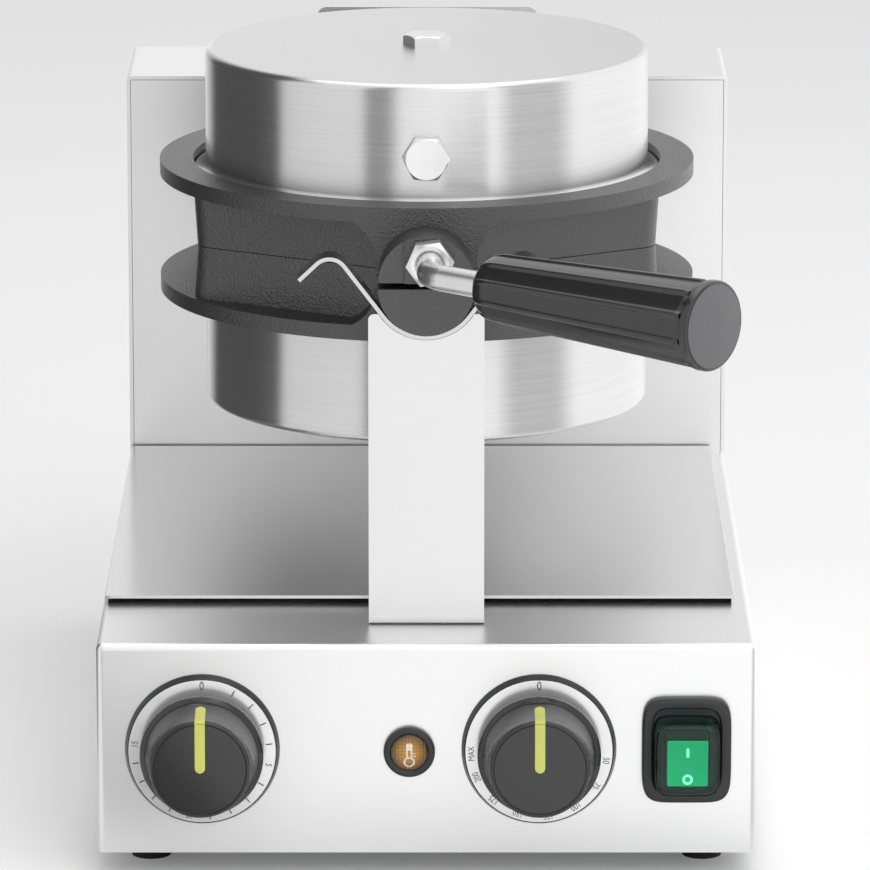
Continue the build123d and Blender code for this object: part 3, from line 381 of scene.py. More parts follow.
@dataclass(frozen=True)
class Finish:
    """What every finish has: a name and a base colour in linear values."""

    name: str
    colour: Triple

    def material(self, groups: SharedGroups) -> bpy.types.Material:
        """Build the material.

        Args:
            groups: the shared node groups.

        Returns:
            The material.
        """
        paint = Paint(self.name, self.colour, groups)
        self.dress(paint)
        return paint.material

    def dress(self, paint: Paint) -> None:
        """Add the finish's own nodes and values."""
        raise NotImplementedError


@dataclass(frozen=True)
class BrushedSheet(Finish):
    """Brushed stainless sheet with straight lines and a faint cloud."""

    grain: Grain = Grain.ACROSS
    roughness: float = 0.3
    contrast: float = 0.06
    density: float = 1400.0
    relief: float = 0.08
    depth: float = 0.00004
    cloud: float = 0.35

    def dress(self, paint: Paint) -> None:
        """Stretch the lines along the grain, and give them a slight relief.

        Args:
            paint: the material at work.
        """
        place = paint.desk.mapped(paint.place, "Scale", self.grain.value)
        lines = paint.texture(paint.groups.brush, self.density, place)
        line = paint.polish(lines, self.contrast, self.cloud)
        paint.vary_roughness(line, self.contrast * 2, self.roughness)
        paint.bump(lines.outputs["Line"], self.relief, self.depth)


@dataclass(frozen=True)
class SpunSteel(Finish):
    """Steel polished on a lathe, with lines round the Z axis through a given centre."""

    centre: tuple[float, float] = (0.0, 0.0)
    roughness: float = 0.24
    contrast: float = 0.12
    density: float = 1500.0
    stretch: float = 0.88
    relief: float = 0.06
    depth: float = 0.00004
    cloud: float = 0.3
    rotation: float = 0.25

    def dress(self, paint: Paint) -> None:
        """Run the lines round the centre, and draw the reflections out across them.

        Args:
            paint: the material at work.
        """
        place = paint.desk.mapped(paint.place, "Location", (-self.centre[0], -self.centre[1], 0.0))
        lines = paint.texture(paint.groups.spun, self.density, place)
        paint.vary_roughness(paint.polish(lines, self.contrast, self.cloud), self.contrast, self.roughness)
        turn = paint.desk.add("Tangent", direction_type="RADIAL", axis="Z").outputs[0]
        paint.settle({"Anisotropic": self.stretch, "Anisotropic Rotation": self.rotation, "Tangent": turn})
        paint.bump(lines.outputs["Line"], self.relief, self.depth)


@dataclass(frozen=True)
class PolishedMetal(Finish):
    """Plated, turned or silver-coated metal with slight handling marks."""

    roughness: float = 0.18
    metallic: float = 1.0
    scale: float = 90.0
    relief: float = 0.05
    depth: float = 0.00003
    tints: tuple[float, float] = (0.9, 1.1)
    swing: float = 0.12

    def dress(self, paint: Paint) -> None:
        """Lay faint marks over the metal.

        Args:
            paint: the material at work.
        """
        marks = paint.texture(paint.groups.mottle, self.scale)
        colour = paint.shade(marks.outputs["Patch"], *self.tints)
        paint.settle({"Base Color": colour, "Metallic": self.metallic})
        paint.vary_roughness(marks.outputs["Speck"], self.swing, self.roughness - self.swing / 2)
        paint.bump(marks.outputs["Speck"], self.relief, self.depth)


@dataclass(frozen=True)
class CastCoating(Finish):
    """Black coated casting with the grit of its sand mould."""

    roughness: float = 0.32
    scale: float = 1300.0
    relief: float = 0.9
    depth: float = 0.0004
    gloss: float = 1.0
    index: float = 1.6
    tints: tuple[float, float] = (0.55, 1.6)
    swing: float = 0.25
    fall: float = 0.12

    def dress(self, paint: Paint) -> None:
        """Let the grit change the colour, the roughness and the height.

        Args:
            paint: the material at work.
        """
        grit = paint.texture(paint.groups.grit, self.scale)
        paint.settle({"Base Color": paint.shade(grit.outputs["Grain"], *self.tints)})
        paint.vary_roughness(grit.outputs["Grain"], self.swing, self.roughness - self.fall)
        paint.settle({"Specular IOR Level": self.gloss, "IOR": self.index})
        paint.bump(grit.outputs["Height"], self.relief, self.depth)


@dataclass(frozen=True)
class Moulding(Finish):
    """Moulded plastic, rubber or print: a fine skin texture and faint patches, with a painted glow where one
    is given.
    """

    roughness: float = 0.35
    texture: float = 0.05
    scale: float = 60.0
    coat: float = 0.0
    # Strength of a painted glow: emission on a part that has no lamp in it.
    glow: float = 0.0
    coat_roughness: float = 0.12
    depth: float = 0.00012
    tints: tuple[float, float] = (0.85, 1.15)
    swing: float = 0.1

    def dress(self, paint: Paint) -> None:
        """Lay the skin over the plastic, under its gloss.

        Args:
            paint: the material at work.
        """
        skin = paint.texture(paint.groups.mottle, self.scale)
        paint.settle({"Base Color": paint.shade(skin.outputs["Patch"], *self.tints)})
        paint.vary_roughness(skin.outputs["Speck"], self.swing, self.roughness - self.swing / 2)
        paint.settle({"Coat Weight": self.coat, "Coat Roughness": self.coat_roughness})
        # A glow is painted light: emission that brightens a part which has no lamp in it.
        paint.settle({"Emission Color": (*self.colour, 1.0), "Emission Strength": self.glow})
        paint.bump(skin.outputs["Speck"], self.texture, self.depth)


@dataclass(frozen=True)
class ClearPlastic(Finish):
    """Clear or tinted plastic that light goes through."""

    roughness: float = 0.08
    clearness: float = 0.9
    index: float = 1.03
    coat: float = 0.5
    coat_roughness: float = 0.04
    scale: float = 40.0
    tints: tuple[float, float] = (0.92, 1.05)
    swing: float = 0.08

    def dress(self, paint: Paint) -> None:
        """Let light through, under a faint film and a gloss.

        Args:
            paint: the material at work.
        """
        skin = paint.texture(paint.groups.mottle, self.scale)
        paint.settle({"Base Color": paint.shade(skin.outputs["Patch"], *self.tints)})
        paint.vary_roughness(skin.outputs["Speck"], self.swing, self.roughness)
        paint.settle({"Transmission Weight": self.clearness, "IOR": self.index})
        paint.settle({"Coat Weight": self.coat, "Coat Roughness": self.coat_roughness})


@dataclass(frozen=True)
class LampGlass(Finish):
    """Amber glass with its bulb's glow painted in: golden in the middle and painted dark brown towards the
    rim.
    """

    centre: Triple = (0.0, 0.0, 0.0)
    radius: float = 7.0 * MM
    painted_rim_dimming: float = 0.05
    painted_glow_falloff: float = 1.6
    roughness: float = 0.12
    clearness: float = 0.15
    coat: float = 0.6
    coat_roughness: float = 0.05
    scale: float = 60.0
    swing: float = 0.06

    def dress(self, paint: Paint) -> None:
        """Paint the bulb's glow: darken the glass by a power of the distance from the lamp's axis.

        Args:
            paint: the material at work.
        """
        desk = paint.desk
        flat = desk.add("VectorMath", operation="MULTIPLY")
        centred = desk.mapped(paint.place, "Location", tuple(-part for part in self.centre))
        desk.feed(flat, {0: centred, 1: (1.0, 0.0, 1.0)})
        reach = desk.add("VectorMath", operation="LENGTH")
        desk.join(flat.outputs[0], reach.inputs[0])
        share = desk.math("DIVIDE", reach.outputs["Value"], self.radius)
        share = desk.math("POWER", share, self.painted_glow_falloff)
        # Painted light and shade: the golden middle stands for the bulb's glow, the dark brown rim for its
        # falloff.
        paint.settle({"Base Color": desk.blend(share, self.colour, paint.tint(self.painted_rim_dimming))})
        skin = paint.texture(paint.groups.mottle, self.scale)
        paint.vary_roughness(skin.outputs["Speck"], self.swing, self.roughness)
        paint.settle({"Transmission Weight": self.clearness})
        paint.settle({"Coat Weight": self.coat, "Coat Roughness": self.coat_roughness})


def linked(name: str, data: bpy.types.ID) -> bpy.types.Object:
    """Put an object into the scene.

    Args:
        name: the object's name.
        data: its mesh, camera or light.

    Returns:
        The object.
    """
    thing = bpy.data.objects.new(name, data)
    bpy.context.scene.collection.objects.link(thing)
    return thing


@dataclass
class Studio:
    """Camera, floor, world and lamps."""

    front_y: float
    head_centre: tuple[float, float]
    camera_x: float = 3.27 * MM
    camera_reach: float = 2556.6 * MM
    camera_height: float = 782.5 * MM
    camera_drop: float = 13.4
    focal_pixels: float = 7000.0
    sensor_width: float = 36.0
    far: float = 60.0
    floor_half: float = 12.0
    floor_grey: float = 0.9
    floor_lift: float = 0.12
    world_seen: float = 1.0
    world_soft: float = 0.5
    lamp_aim: Triple = (0.0, 0.0, 0.15)

    def build(self) -> None:
        """Set up the camera, the world, the floor and the lamps."""
        bpy.context.scene.view_settings.view_transform = "Standard"
        self._camera()
        self._world()
        self._floor()
        self._lamp("key_lamp", (1.2, self.front_y - 1.5, 1.8), (2.6, 2.4), power=34.0)
        self._lamp("fill_lamp", (-1.9, self.front_y - 1.2, 1.5), (1.4, 1.8), power=4.0)
        self._lamp("top_lamp", (0.2, 0.3, 2.4), (2.6, 2.0), power=14.0)
        Tent(self.head_centre).build()

    def _camera(self) -> None:
        """Place the camera where the photograph was taken from."""
        data = bpy.data.cameras.new("camera")
        data.sensor_width = self.sensor_width
        data.lens = self.focal_pixels * self.sensor_width / PHOTO_SIDE
        data.clip_end = self.far
        camera = linked("camera", data)
        camera.location = (self.camera_x, self.front_y - self.camera_reach, self.camera_height)
        camera.rotation_euler = (math.radians(90 - self.camera_drop), 0.0, 0.0)
        bpy.context.scene.camera = camera

    def _world(self) -> None:
        """A white surround for the eye and for reflections, dimmer as a source of soft light."""
        world = bpy.data.worlds.new("surround")
        world.use_nodes = True
        world.node_tree.nodes.clear()
        desk = NodeDesk(world.node_tree)
        path = desk.add("LightPath")
        seen = desk.math("MAXIMUM", path.outputs["Is Camera Ray"], path.outputs["Is Glossy Ray"])
        seen = desk.math("MAXIMUM", seen, path.outputs["Is Transmission Ray"])
        seen = desk.math("MULTIPLY", seen, self.world_seen - self.world_soft)
        shade = desk.add("Background")
        desk.feed(shade, {"Color": (*grey(1.0), 1.0), "Strength": desk.math("ADD", seen, self.world_soft)})
        desk.join(shade.outputs[0], desk.add("OutputWorld").inputs["Surface"])
        bpy.context.scene.world = world

    def _floor(self) -> None:
        """A pale floor that keeps the object's shadow, slightly lifted for the eye."""
        mesh = bpy.data.meshes.new("floor")
        corners = [(-1, -1, 0), (1, -1, 0), (1, 1, 0), (-1, 1, 0)]
        mesh.from_pydata((np.array(corners) * self.floor_half).tolist(), [], [(0, 1, 2, 3)])
        material, desk, surface = bare_material("floor_paper")
        paper, lift, both = desk.add("BsdfDiffuse"), desk.add("Emission"), desk.add("AddShader")
        seen = desk.add("LightPath").outputs["Is Camera Ray"]
        desk.feed(paper, {"Color": (*grey(self.floor_grey), 1.0)})
        desk.feed(lift, {"Strength": desk.math("MULTIPLY", seen, self.floor_lift)})
        desk.feed(both, {0: paper.outputs[0], 1: lift.outputs[0]})
        desk.join(both.outputs[0], surface)
        mesh.materials.append(material)
        floor = linked("floor", mesh)

    def _lamp(self, name: str, place: Triple, size: tuple[float, float], power: float) -> None:
        """Hang one soft lamp that faces the object.

        Args:
            name: the lamp's name.
            place: its middle, in metres.
            size: its width and height, in metres.
            power: its power, in watts.
        """
        data = bpy.data.lights.new(name, "AREA")
        data.shape = "RECTANGLE"
        data.size, data.size_y = size
        data.energy = power
        lamp = linked(name, data)
        lamp.location = place
        lamp.rotation_euler = (Vector(self.lamp_aim) - Vector(place)).to_track_quat("-Z", "Y").to_euler()


@dataclass
class Tent:
    """A ring of pale and dark cards round the object, which only reflections see.

    A card is a pair: its angle from the front, to the right, in degrees, and its grey.
    """

    centre: tuple[float, float]
    radius: float = 0.9
    height: float = 1.5
    floor_start: float = 0.24
    floor_height: float = 0.001
    columns: int = 96
    strength: float = 1.4
    cards: tuple[tuple[float, float], ...] = (
        (-180.0, 0.66),
        (-164.0, 0.70),
        (-146.0, 0.34),
        (-138.0, 0.07),
        (-96.0, 0.07),
        (-80.0, 0.10),
        (-75.0, 0.60),
        (-32.0, 0.66),
        (-29.0, 0.26),
        (-19.0, 0.28),
        (-12.0, 0.80),
        (34.0, 0.84),
        (43.0, 0.46),
        (68.0, 0.50),
        (80.0, 0.90),
        (146.0, 0.86),
        (162.0, 0.66),
        (172.0, 0.56),
        (180.0, 0.66),
    )

    def build(self) -> None:
        """Stand the ring up: three rows of points, a skirt on the floor and a wall."""
        low = self.floor_height
        rows = [(self.floor_start, low), (self.radius, low), (self.radius, self.height)]
        corners = rows_about(circle(self.columns), rows) + np.array([*self.centre, 0.0])
        mesh = woven("tent", [Patch(corners)])
        mesh.materials.append(self._glow())
        tent = linked("tent", mesh)
        tent.visible_camera = tent.visible_diffuse = False
        tent.visible_shadow = tent.visible_transmission = False

    def _glow(self) -> bpy.types.Material:
        """The cards' light: a ramp of grey over the angle from the front, to the right and left.

        Returns:
            The material.
        """
        material, desk, surface = bare_material("tent_cards")
        parts = desk.add("SeparateXYZ")
        desk.join(desk.add("TexCoord").outputs["Object"], parts.inputs[0])
        across = desk.math("SUBTRACT", parts.outputs[0], self.centre[0])
        ahead = desk.math("SUBTRACT", self.centre[1], parts.outputs[1])
        turn = desk.math("DIVIDE", desk.math("ARCTAN2", across, ahead), 2 * math.pi)
        ramp = desk.add("ValToRGB")
        desk.join(desk.math("ADD", turn, 0.5), ramp.inputs[0])
        stops = ramp.color_ramp.elements
        while len(stops) < len(self.cards):
            stops.new(0.5)
        for stop, (degrees, shade) in zip(stops, self.cards):
            stop.position = degrees / 360 + 0.5
            stop.color = (*grey(shade), 1.0)
        glow = desk.add("Emission")
        desk.feed(glow, {"Color": ramp.outputs[0], "Strength": self.strength})
        desk.join(glow.outputs[0], surface)
        return material


@dataclass
class FinishShelf:
    """Every finish of the object, by material slot of the record, built once."""

    head_centre: tuple[float, float]
    lamp_centre: Triple
    groups: SharedGroups = field(default_factory=SharedGroups)
    ready: dict[str, bpy.types.Material] = field(default_factory=dict)

    def finishes(self) -> tuple[Finish, ...]:
        """The finishes, each named after its slot or its use.

        Returns:
            The finishes.
        """
        return (
            BrushedSheet("stainless_sheet", grey(0.86), roughness=0.34, contrast=0.035),
            BrushedSheet("support_steel", grey(0.77), roughness=0.34, contrast=0.035),
            BrushedSheet("tray_steel", grey(0.70), roughness=0.18, contrast=0.04),
            BrushedSheet("zinc_sheet", (0.50, 0.51, 0.52), Grain.NONE, 0.42, contrast=0.08, density=220.0),
            SpunSteel("drum_steel", grey(0.70), self.head_centre),
            SpunSteel("drum_end", grey(0.70), self.head_centre, roughness=0.34, contrast=0.05, stretch=0.1),
            PolishedMetal("spring_steel", (0.62, 0.62, 0.63), roughness=0.16),
            PolishedMetal("bright_steel", grey(0.80), roughness=0.25),
            PolishedMetal("machined_steel", (0.55, 0.55, 0.56), roughness=0.3),
            PolishedMetal("bronze_bush", (0.50, 0.34, 0.17), roughness=0.32),
            PolishedMetal("scale_metal", grey(0.88), roughness=0.2, metallic=0.6),
            PolishedMetal("rim_metal", (0.06, 0.06, 0.062), roughness=0.16),
            CastCoating("cast_alloy", (0.012, 0.012, 0.0125)),
            CastCoating("fibre_pad", (0.60, 0.57, 0.52), 0.9, 500.0, depth=0.0006, gloss=0.3, index=1.45),
            Moulding("nonstick_plate", (0.03, 0.03, 0.032), roughness=0.34, texture=0.25, scale=150.0),
            Moulding("knob_plastic", (0.011, 0.011, 0.012), roughness=0.28, texture=0.04, coat=0.5),
            Moulding("pointer_plastic", (0.64, 0.66, 0.15), roughness=0.42),
            Moulding("unit_plastic", (0.05, 0.05, 0.055), roughness=0.5, texture=0.1),
            Moulding("frame_plastic", (0.022, 0.022, 0.024), roughness=0.4, texture=0.06),
            # The rocker key's glow is painted light: no lamp is in it.
            Moulding("green_rocker", (0.003, 0.45, 0.20), roughness=0.4, texture=0.03, glow=0.45),
            Moulding("rocker_dark", (0.004, 0.03, 0.018), roughness=0.4, texture=0.03),
            Moulding("grip_bakelite", grey(0.012), roughness=0.24, texture=0.03, coat=0.6),
            Moulding("cap_plastic", (0.13, 0.13, 0.135), roughness=0.4, texture=0.08),
            Moulding("foot_rubber", grey(0.018), roughness=0.6, texture=0.2, scale=90.0),
            Moulding("grey_print", grey(0.045), roughness=0.6, texture=0.02),
            # The marks' glow is painted light: no lamp is in them.
            Moulding("mint_print", (0.45, 1.0, 0.72), roughness=0.5, texture=0.02, glow=1.0),
            Moulding("cream_print", (0.9, 0.78, 0.66), roughness=0.5, texture=0.02),
            # The lens's colour carries the bulb's glow as painted light.
            LampGlass("amber_lens", (0.80, 0.40, 0.06), self.lamp_centre),
            ClearPlastic("clear_cover", (0.50, 0.80, 0.70), roughness=0.05, clearness=1.0),
        )

    def fill(self) -> None:
        """Build every material and give the carried nodes theirs."""
        self.ready = {finish.name: finish.material(self.groups) for finish in self.finishes()}
        for row in frame["record"]["subparts"]:
            node = frame["nodes"][row["node"]]
            node.data.materials.clear()
            finish = "support_steel" if row["node"] == "front_support" else row["material_slot"]
            node.data.materials.append(self.ready[finish])


@dataclass(frozen=True)
class Seat:
    """A place in the frame: an origin in metres and two directions at right angles."""

    origin: Triple
    right: Triple = (1.0, 0.0, 0.0)
    up: Triple = (0.0, 1.0, 0.0)

    def carry(self, local: np.ndarray) -> np.ndarray:
        """Carry local millimetres into the frame.

        The point is origin + x * right + y * up + z * out, where out is right cross up.

        Args:
            local: array whose last axis holds x, y and z.

        Returns:
            The same array in metres in the frame.
        """
        axes = np.array([self.right, self.up, np.cross(self.right, self.up)])
        return np.asarray(self.origin) + MM * (np.asarray(local) @ axes)

    def at(self, *local: float) -> "Seat":
        """The same directions at a local place, in millimetres."""
        return replace(self, origin=tuple(self.carry(np.array(local))))


@dataclass(frozen=True)
class Patch:
    """A grid of points whose rows close round, and whose last row may join its first."""

    points: np.ndarray
    looped: bool = False

    def quads(self, start: int) -> np.ndarray:
        """Corner numbers of the quads between neighbouring points.

        Args:
            start: number of the patch's first point in its mesh.

        Returns:
            An array of four corner numbers a quad.
        """
        rows, columns = self.points.shape[:2]
        row = np.arange(rows if self.looped else rows - 1)[:, None] * columns
        column = np.arange(columns)[None, :]
        next_row, next_column = (row + columns) % (rows * columns), (column + 1) % columns
        corners = (row + column, row + next_column, next_row + next_column, next_row + column)
        return start + np.stack(corners, axis=-1).reshape(-1, 4)


def circle(count: int) -> np.ndarray:
    """Points of the unit circle: cosine and sine of evenly spaced angles."""
    angle = np.linspace(0.0, 2 * np.pi, count, endpoint=False)
    return np.stack([np.cos(angle), np.sin(angle)], axis=-1)


def clockwise(degrees: float) -> np.ndarray:
    """The matrix that turns points, kept as rows, clockwise about the origin."""
    sine, cosine = math.sin(math.radians(-degrees)), math.cos(math.radians(-degrees))
    return np.array([[cosine, sine], [-sine, cosine]])


def bulged_rectangle(half: tuple[float, float], power: float, count: int) -> np.ndarray:
    """Outline of a rectangle with bulged sides and round corners.

    It is the superellipse: x is the half width times cosine to the power 2 / power, with its
    sign, and y is the half height times sine to the same power.

    Args:
        half: half of its width and half of its height.
        power: 2 for an ellipse, larger for squarer corners.
        count: number of points.

    Returns:
        The outline's points.
    """
    unit = circle(count)
    return np.sign(unit) * np.abs(unit) ** (2 / power) * np.array(half)


def hexagon(flats: float, turn: float, per_side: int) -> np.ndarray:
    """Outline of a regular hexagon.

    The radius at an angle is half of the width over flats divided by the cosine of the angle
    from the nearest flat's middle.

    Args:
        flats: width over flats.
        turn: turn of the hexagon, in degrees.
        per_side: points on each side.

    Returns:
        The outline's points.
    """
    step = np.pi / 3
    angle = np.arange(6 * per_side) * step / per_side
    from_flat = (angle + step / 2) % step - step / 2
    radius = flats / 2 / np.cos(from_flat)
    angle = angle + math.radians(turn)
    return np.stack([radius * np.cos(angle), radius * np.sin(angle)], axis=-1)


def soft_line(corners: Sequence[Triple], steps: int = 6) -> np.ndarray:
    """A line of straight runs whose corners are arcs.

    At each inner corner the arc of the given radius touches both runs: it starts and ends at
    radius times tangent of half the turn from the corner, and is sampled evenly by angle.

    Args:
        corners: first value, second value and radius of each corner.
        steps: number of pieces of each arc.

    Returns:
        The line's points.
    """
    spots = np.array([corner[:2] for corner in corners], dtype=float)
    line = [spots[:1]]
    for place in range(1, len(corners) - 1):
        radius = corners[place][2]
        into = spots[place] - spots[place - 1]
        away = spots[place + 1] - spots[place]
        into, away = into / np.linalg.norm(into), away / np.linalg.norm(away)
        turn = math.atan2(into[0] * away[1] - into[1] * away[0], float(into @ away))
        if radius <= 0 or abs(turn) < 1e-6:
            line.append(spots[place : place + 1])
            continue
        start = spots[place] - into * radius * math.tan(abs(turn) / 2)
        side = np.array([-into[1], into[0]]) * math.copysign(1.0, turn)
        share = np.linspace(0.0, abs(turn), steps + 1)[:, None]
        line.append(start + radius * (np.sin(share) * into + (1 - np.cos(share)) * side))
    line.append(spots[-1:])
    return np.concatenate(line)


def raised(flat: np.ndarray, height: np.ndarray) -> np.ndarray:
    """Give rows of flat points a height for each row."""
    rise = np.broadcast_to(np.asarray(height)[:, None, None], (*flat.shape[:2], 1))
    return np.concatenate([flat, rise], axis=-1)


def rows_about(ring: np.ndarray, rows: Sequence[tuple[float, float]] | np.ndarray) -> np.ndarray:
    """Rows of points in fixed directions from an axis.

    Args:
        ring: the directions, one for each column.
        rows: reach and height of each row, as one number or as one for each column.

    Returns:
        A grid of points.
    """
    spread = np.array([[np.broadcast_to(part, len(ring)) for part in row] for row in rows])
    return np.concatenate([spread[:, 0, :, None] * ring, spread[:, 1, :, None]], axis=-1)


def woven(name: str, patches: Sequence[Patch]) -> bpy.types.Mesh:
    """Make one mesh of several patches.

    Args:
        name: the mesh's name.
        patches: its patches.

    Returns:
        The mesh.
    """
    starts = np.cumsum([0] + [patch.points.size // 3 for patch in patches])
    points = np.concatenate([patch.points.reshape(-1, 3) for patch in patches])
    quads = np.concatenate([patch.quads(start) for patch, start in zip(patches, starts)])
    mesh = bpy.data.meshes.new(name)
    mesh.from_pydata(points.tolist(), [], quads.tolist())
    return mesh


def turned(profile: np.ndarray, seat: Seat, count: int = 96, looped: bool = False) -> Patch:
    """Turn a profile once round the seat's outward axis.

    Args:
        profile: radius and height of each point, from one end to the other.
        seat: where the piece stands.
        count: points round the axis.
        looped: whether the profile's end joins its start.

    Returns:
        The surface, with a row for each point of the profile.
    """
    return Patch(seat.carry(rows_about(circle(count), profile)), looped)


def drawn_in(outline: np.ndarray, profile: np.ndarray) -> np.ndarray:
    """Carry an outline inwards and outwards along a profile.

    A row is the outline with each coordinate drawn in towards the middle by the row's inset, in
    proportion, at the row's height. An inset as large as the outline's half closes it.

    Args:
        outline: points of the closed outline.
        profile: inset and height of each row.

    Returns:
        A grid of points, with a row for each point of the profile.
    """
    half = np.abs(outline).max(axis=0)
    scale = np.maximum(0.0, 1 - profile[:, None, :1] / half)
    return raised(outline[None] * scale, profile[:, 1])


def plate(outline: np.ndarray, low: float, high: float, edge: float = 0.04) -> np.ndarray:
    """A thin flat plate with slightly rounded upper edges, closed at its middle.

    Args:
        outline: its closed outline, star-shaped about its own middle.
        low: height of its underside.
        high: height of its top.
        edge: share of the outline that the rounded edge takes, and its height.

    Returns:
        A grid of points.
    """
    middle = outline.mean(axis=0)
    share = np.array([0.0, 1.0, 1.0, 1.0 - edge, 0.0])[:, None, None]
    return raised(middle + (outline - middle) * share, np.array([low, low, high - edge, high, high]))


def band(inner: float, outer: float, low: float, high: float, count: int) -> np.ndarray:
    """A flat ring of square section with slightly rounded upper edges.

    Args:
        inner: its inner radius.
        outer: its outer radius.
        low: height of its underside.
        high: height of its top.
        count: points round it.

    Returns:
        A grid of points, whose last row joins its first.
    """
    edge = (outer - inner) * 0.08
    tops = [(outer, high - edge), (outer - edge, high), (inner + edge, high), (inner, high - edge)]
    return rows_about(circle(count), [(inner, low), (outer, low), *tops])


def bar(width: float, height: float, centre: tuple[float, float], turn: float = 0.0) -> np.ndarray:
    """Outline of a bar with slightly round corners, turned about the seat's middle.

    Args:
        width: its width.
        height: its height.
        centre: its middle before the turn.
        turn: clockwise turn about the origin, in degrees.

    Returns:
        The outline's points.
    """
    return (bulged_rectangle((width / 2, height / 2), 8.0, 24) + np.array(centre)) @ clockwise(turn)


@dataclass
class Maker:
    """Turns surfaces into finished pieces that ride on a body."""

    shelf: FinishShelf

    def piece(
        self,
        name: str,
        surface: Sequence[Patch] | bpy.types.Mesh,
        body: str,
        slot: str,
        replaces: Sequence[str] = (),
        finish: str = "",
        crease: float = 35.0,
    ) -> None:
        """Close a piece's seams, smooth it, dress it and let it ride on its body.

        Args:
            name: the piece's name.
            surface: its patches, which together close it, or a mesh in the frame.
            body: the body that it rides on.
            slot: the record's material slot.
            replaces: nodes that it stands for.
            finish: its finish, where that isn't the slot's.
            crease: edges sharper than this stay sharp, in degrees.
        """
        mesh = surface if isinstance(surface, bpy.types.Mesh) else woven(name, surface)
        work = bmesh.new()
        work.from_mesh(mesh)
        bmesh.ops.remove_doubles(work, verts=work.verts, dist=MERGE)
        bmesh.ops.dissolve_degenerate(work, edges=work.edges, dist=MERGE)
        bmesh.ops.recalc_face_normals(work, faces=work.faces)
        work.to_mesh(mesh)
        work.free()
        mesh.polygons.foreach_set("use_smooth", np.ones(len(mesh.polygons), dtype=bool))
        mesh.set_sharp_from_angle(angle=math.radians(crease))
        mesh.materials.clear()
        mesh.materials.append(self.shelf.ready[finish or slot])
        piece = linked(name, mesh)
        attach(piece, body)
        if replaces:
            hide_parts(*replaces)
        log.info("%s: %d faces on %s", name, len(mesh.polygons), body)


@dataclass(frozen=True)
class HexHead:
    """A hexagon head or nut with the round chamfer of a turned blank."""

    flats: float = 16.0
    height: float = 6.4
    bore: float = 0.0
    chamfer_slope: float = 0.5
    face_share: float = 0.95
    face_edge: float = 0.35
    bore_chamfer: float = 0.7
    turn: float = 0.0
    both_ends: bool = False
    per_side: int = 8
    crease: float = 20.0

    def patches(self, seat: Seat) -> list[Patch]:
        """Surfaces of the head.

        The top falls away outside the round face by the slope times the distance past it, so
        that each corner is cut lowest; the bottom is flat, or cut the same way on a nut.

        Args:
            seat: the middle of its underside, with the outward axis along the bolt.

        Returns:
            The surface patches.
        """
        outline = hexagon(self.flats, self.turn, self.per_side)
        radius = np.linalg.norm(outline, axis=-1)
        face, top = self.flats / 2 * self.face_share, self.height
        cut = (radius - face) * self.chamfer_slope
        rows = [(self.bore, 0.0), (face, 0.0), (radius, cut * self.both_ends), (radius, top - cut)]
        rows += [(face, top), (face - self.face_edge, top)]
        if self.bore:
            rows += [(self.bore + self.bore_chamfer, top), (self.bore, top - self.bore_chamfer)]
        else:
            rows.append((0.0, top))
        return [Patch(seat.carry(rows_about(outline / radius[:, None], rows)), bool(self.bore))]


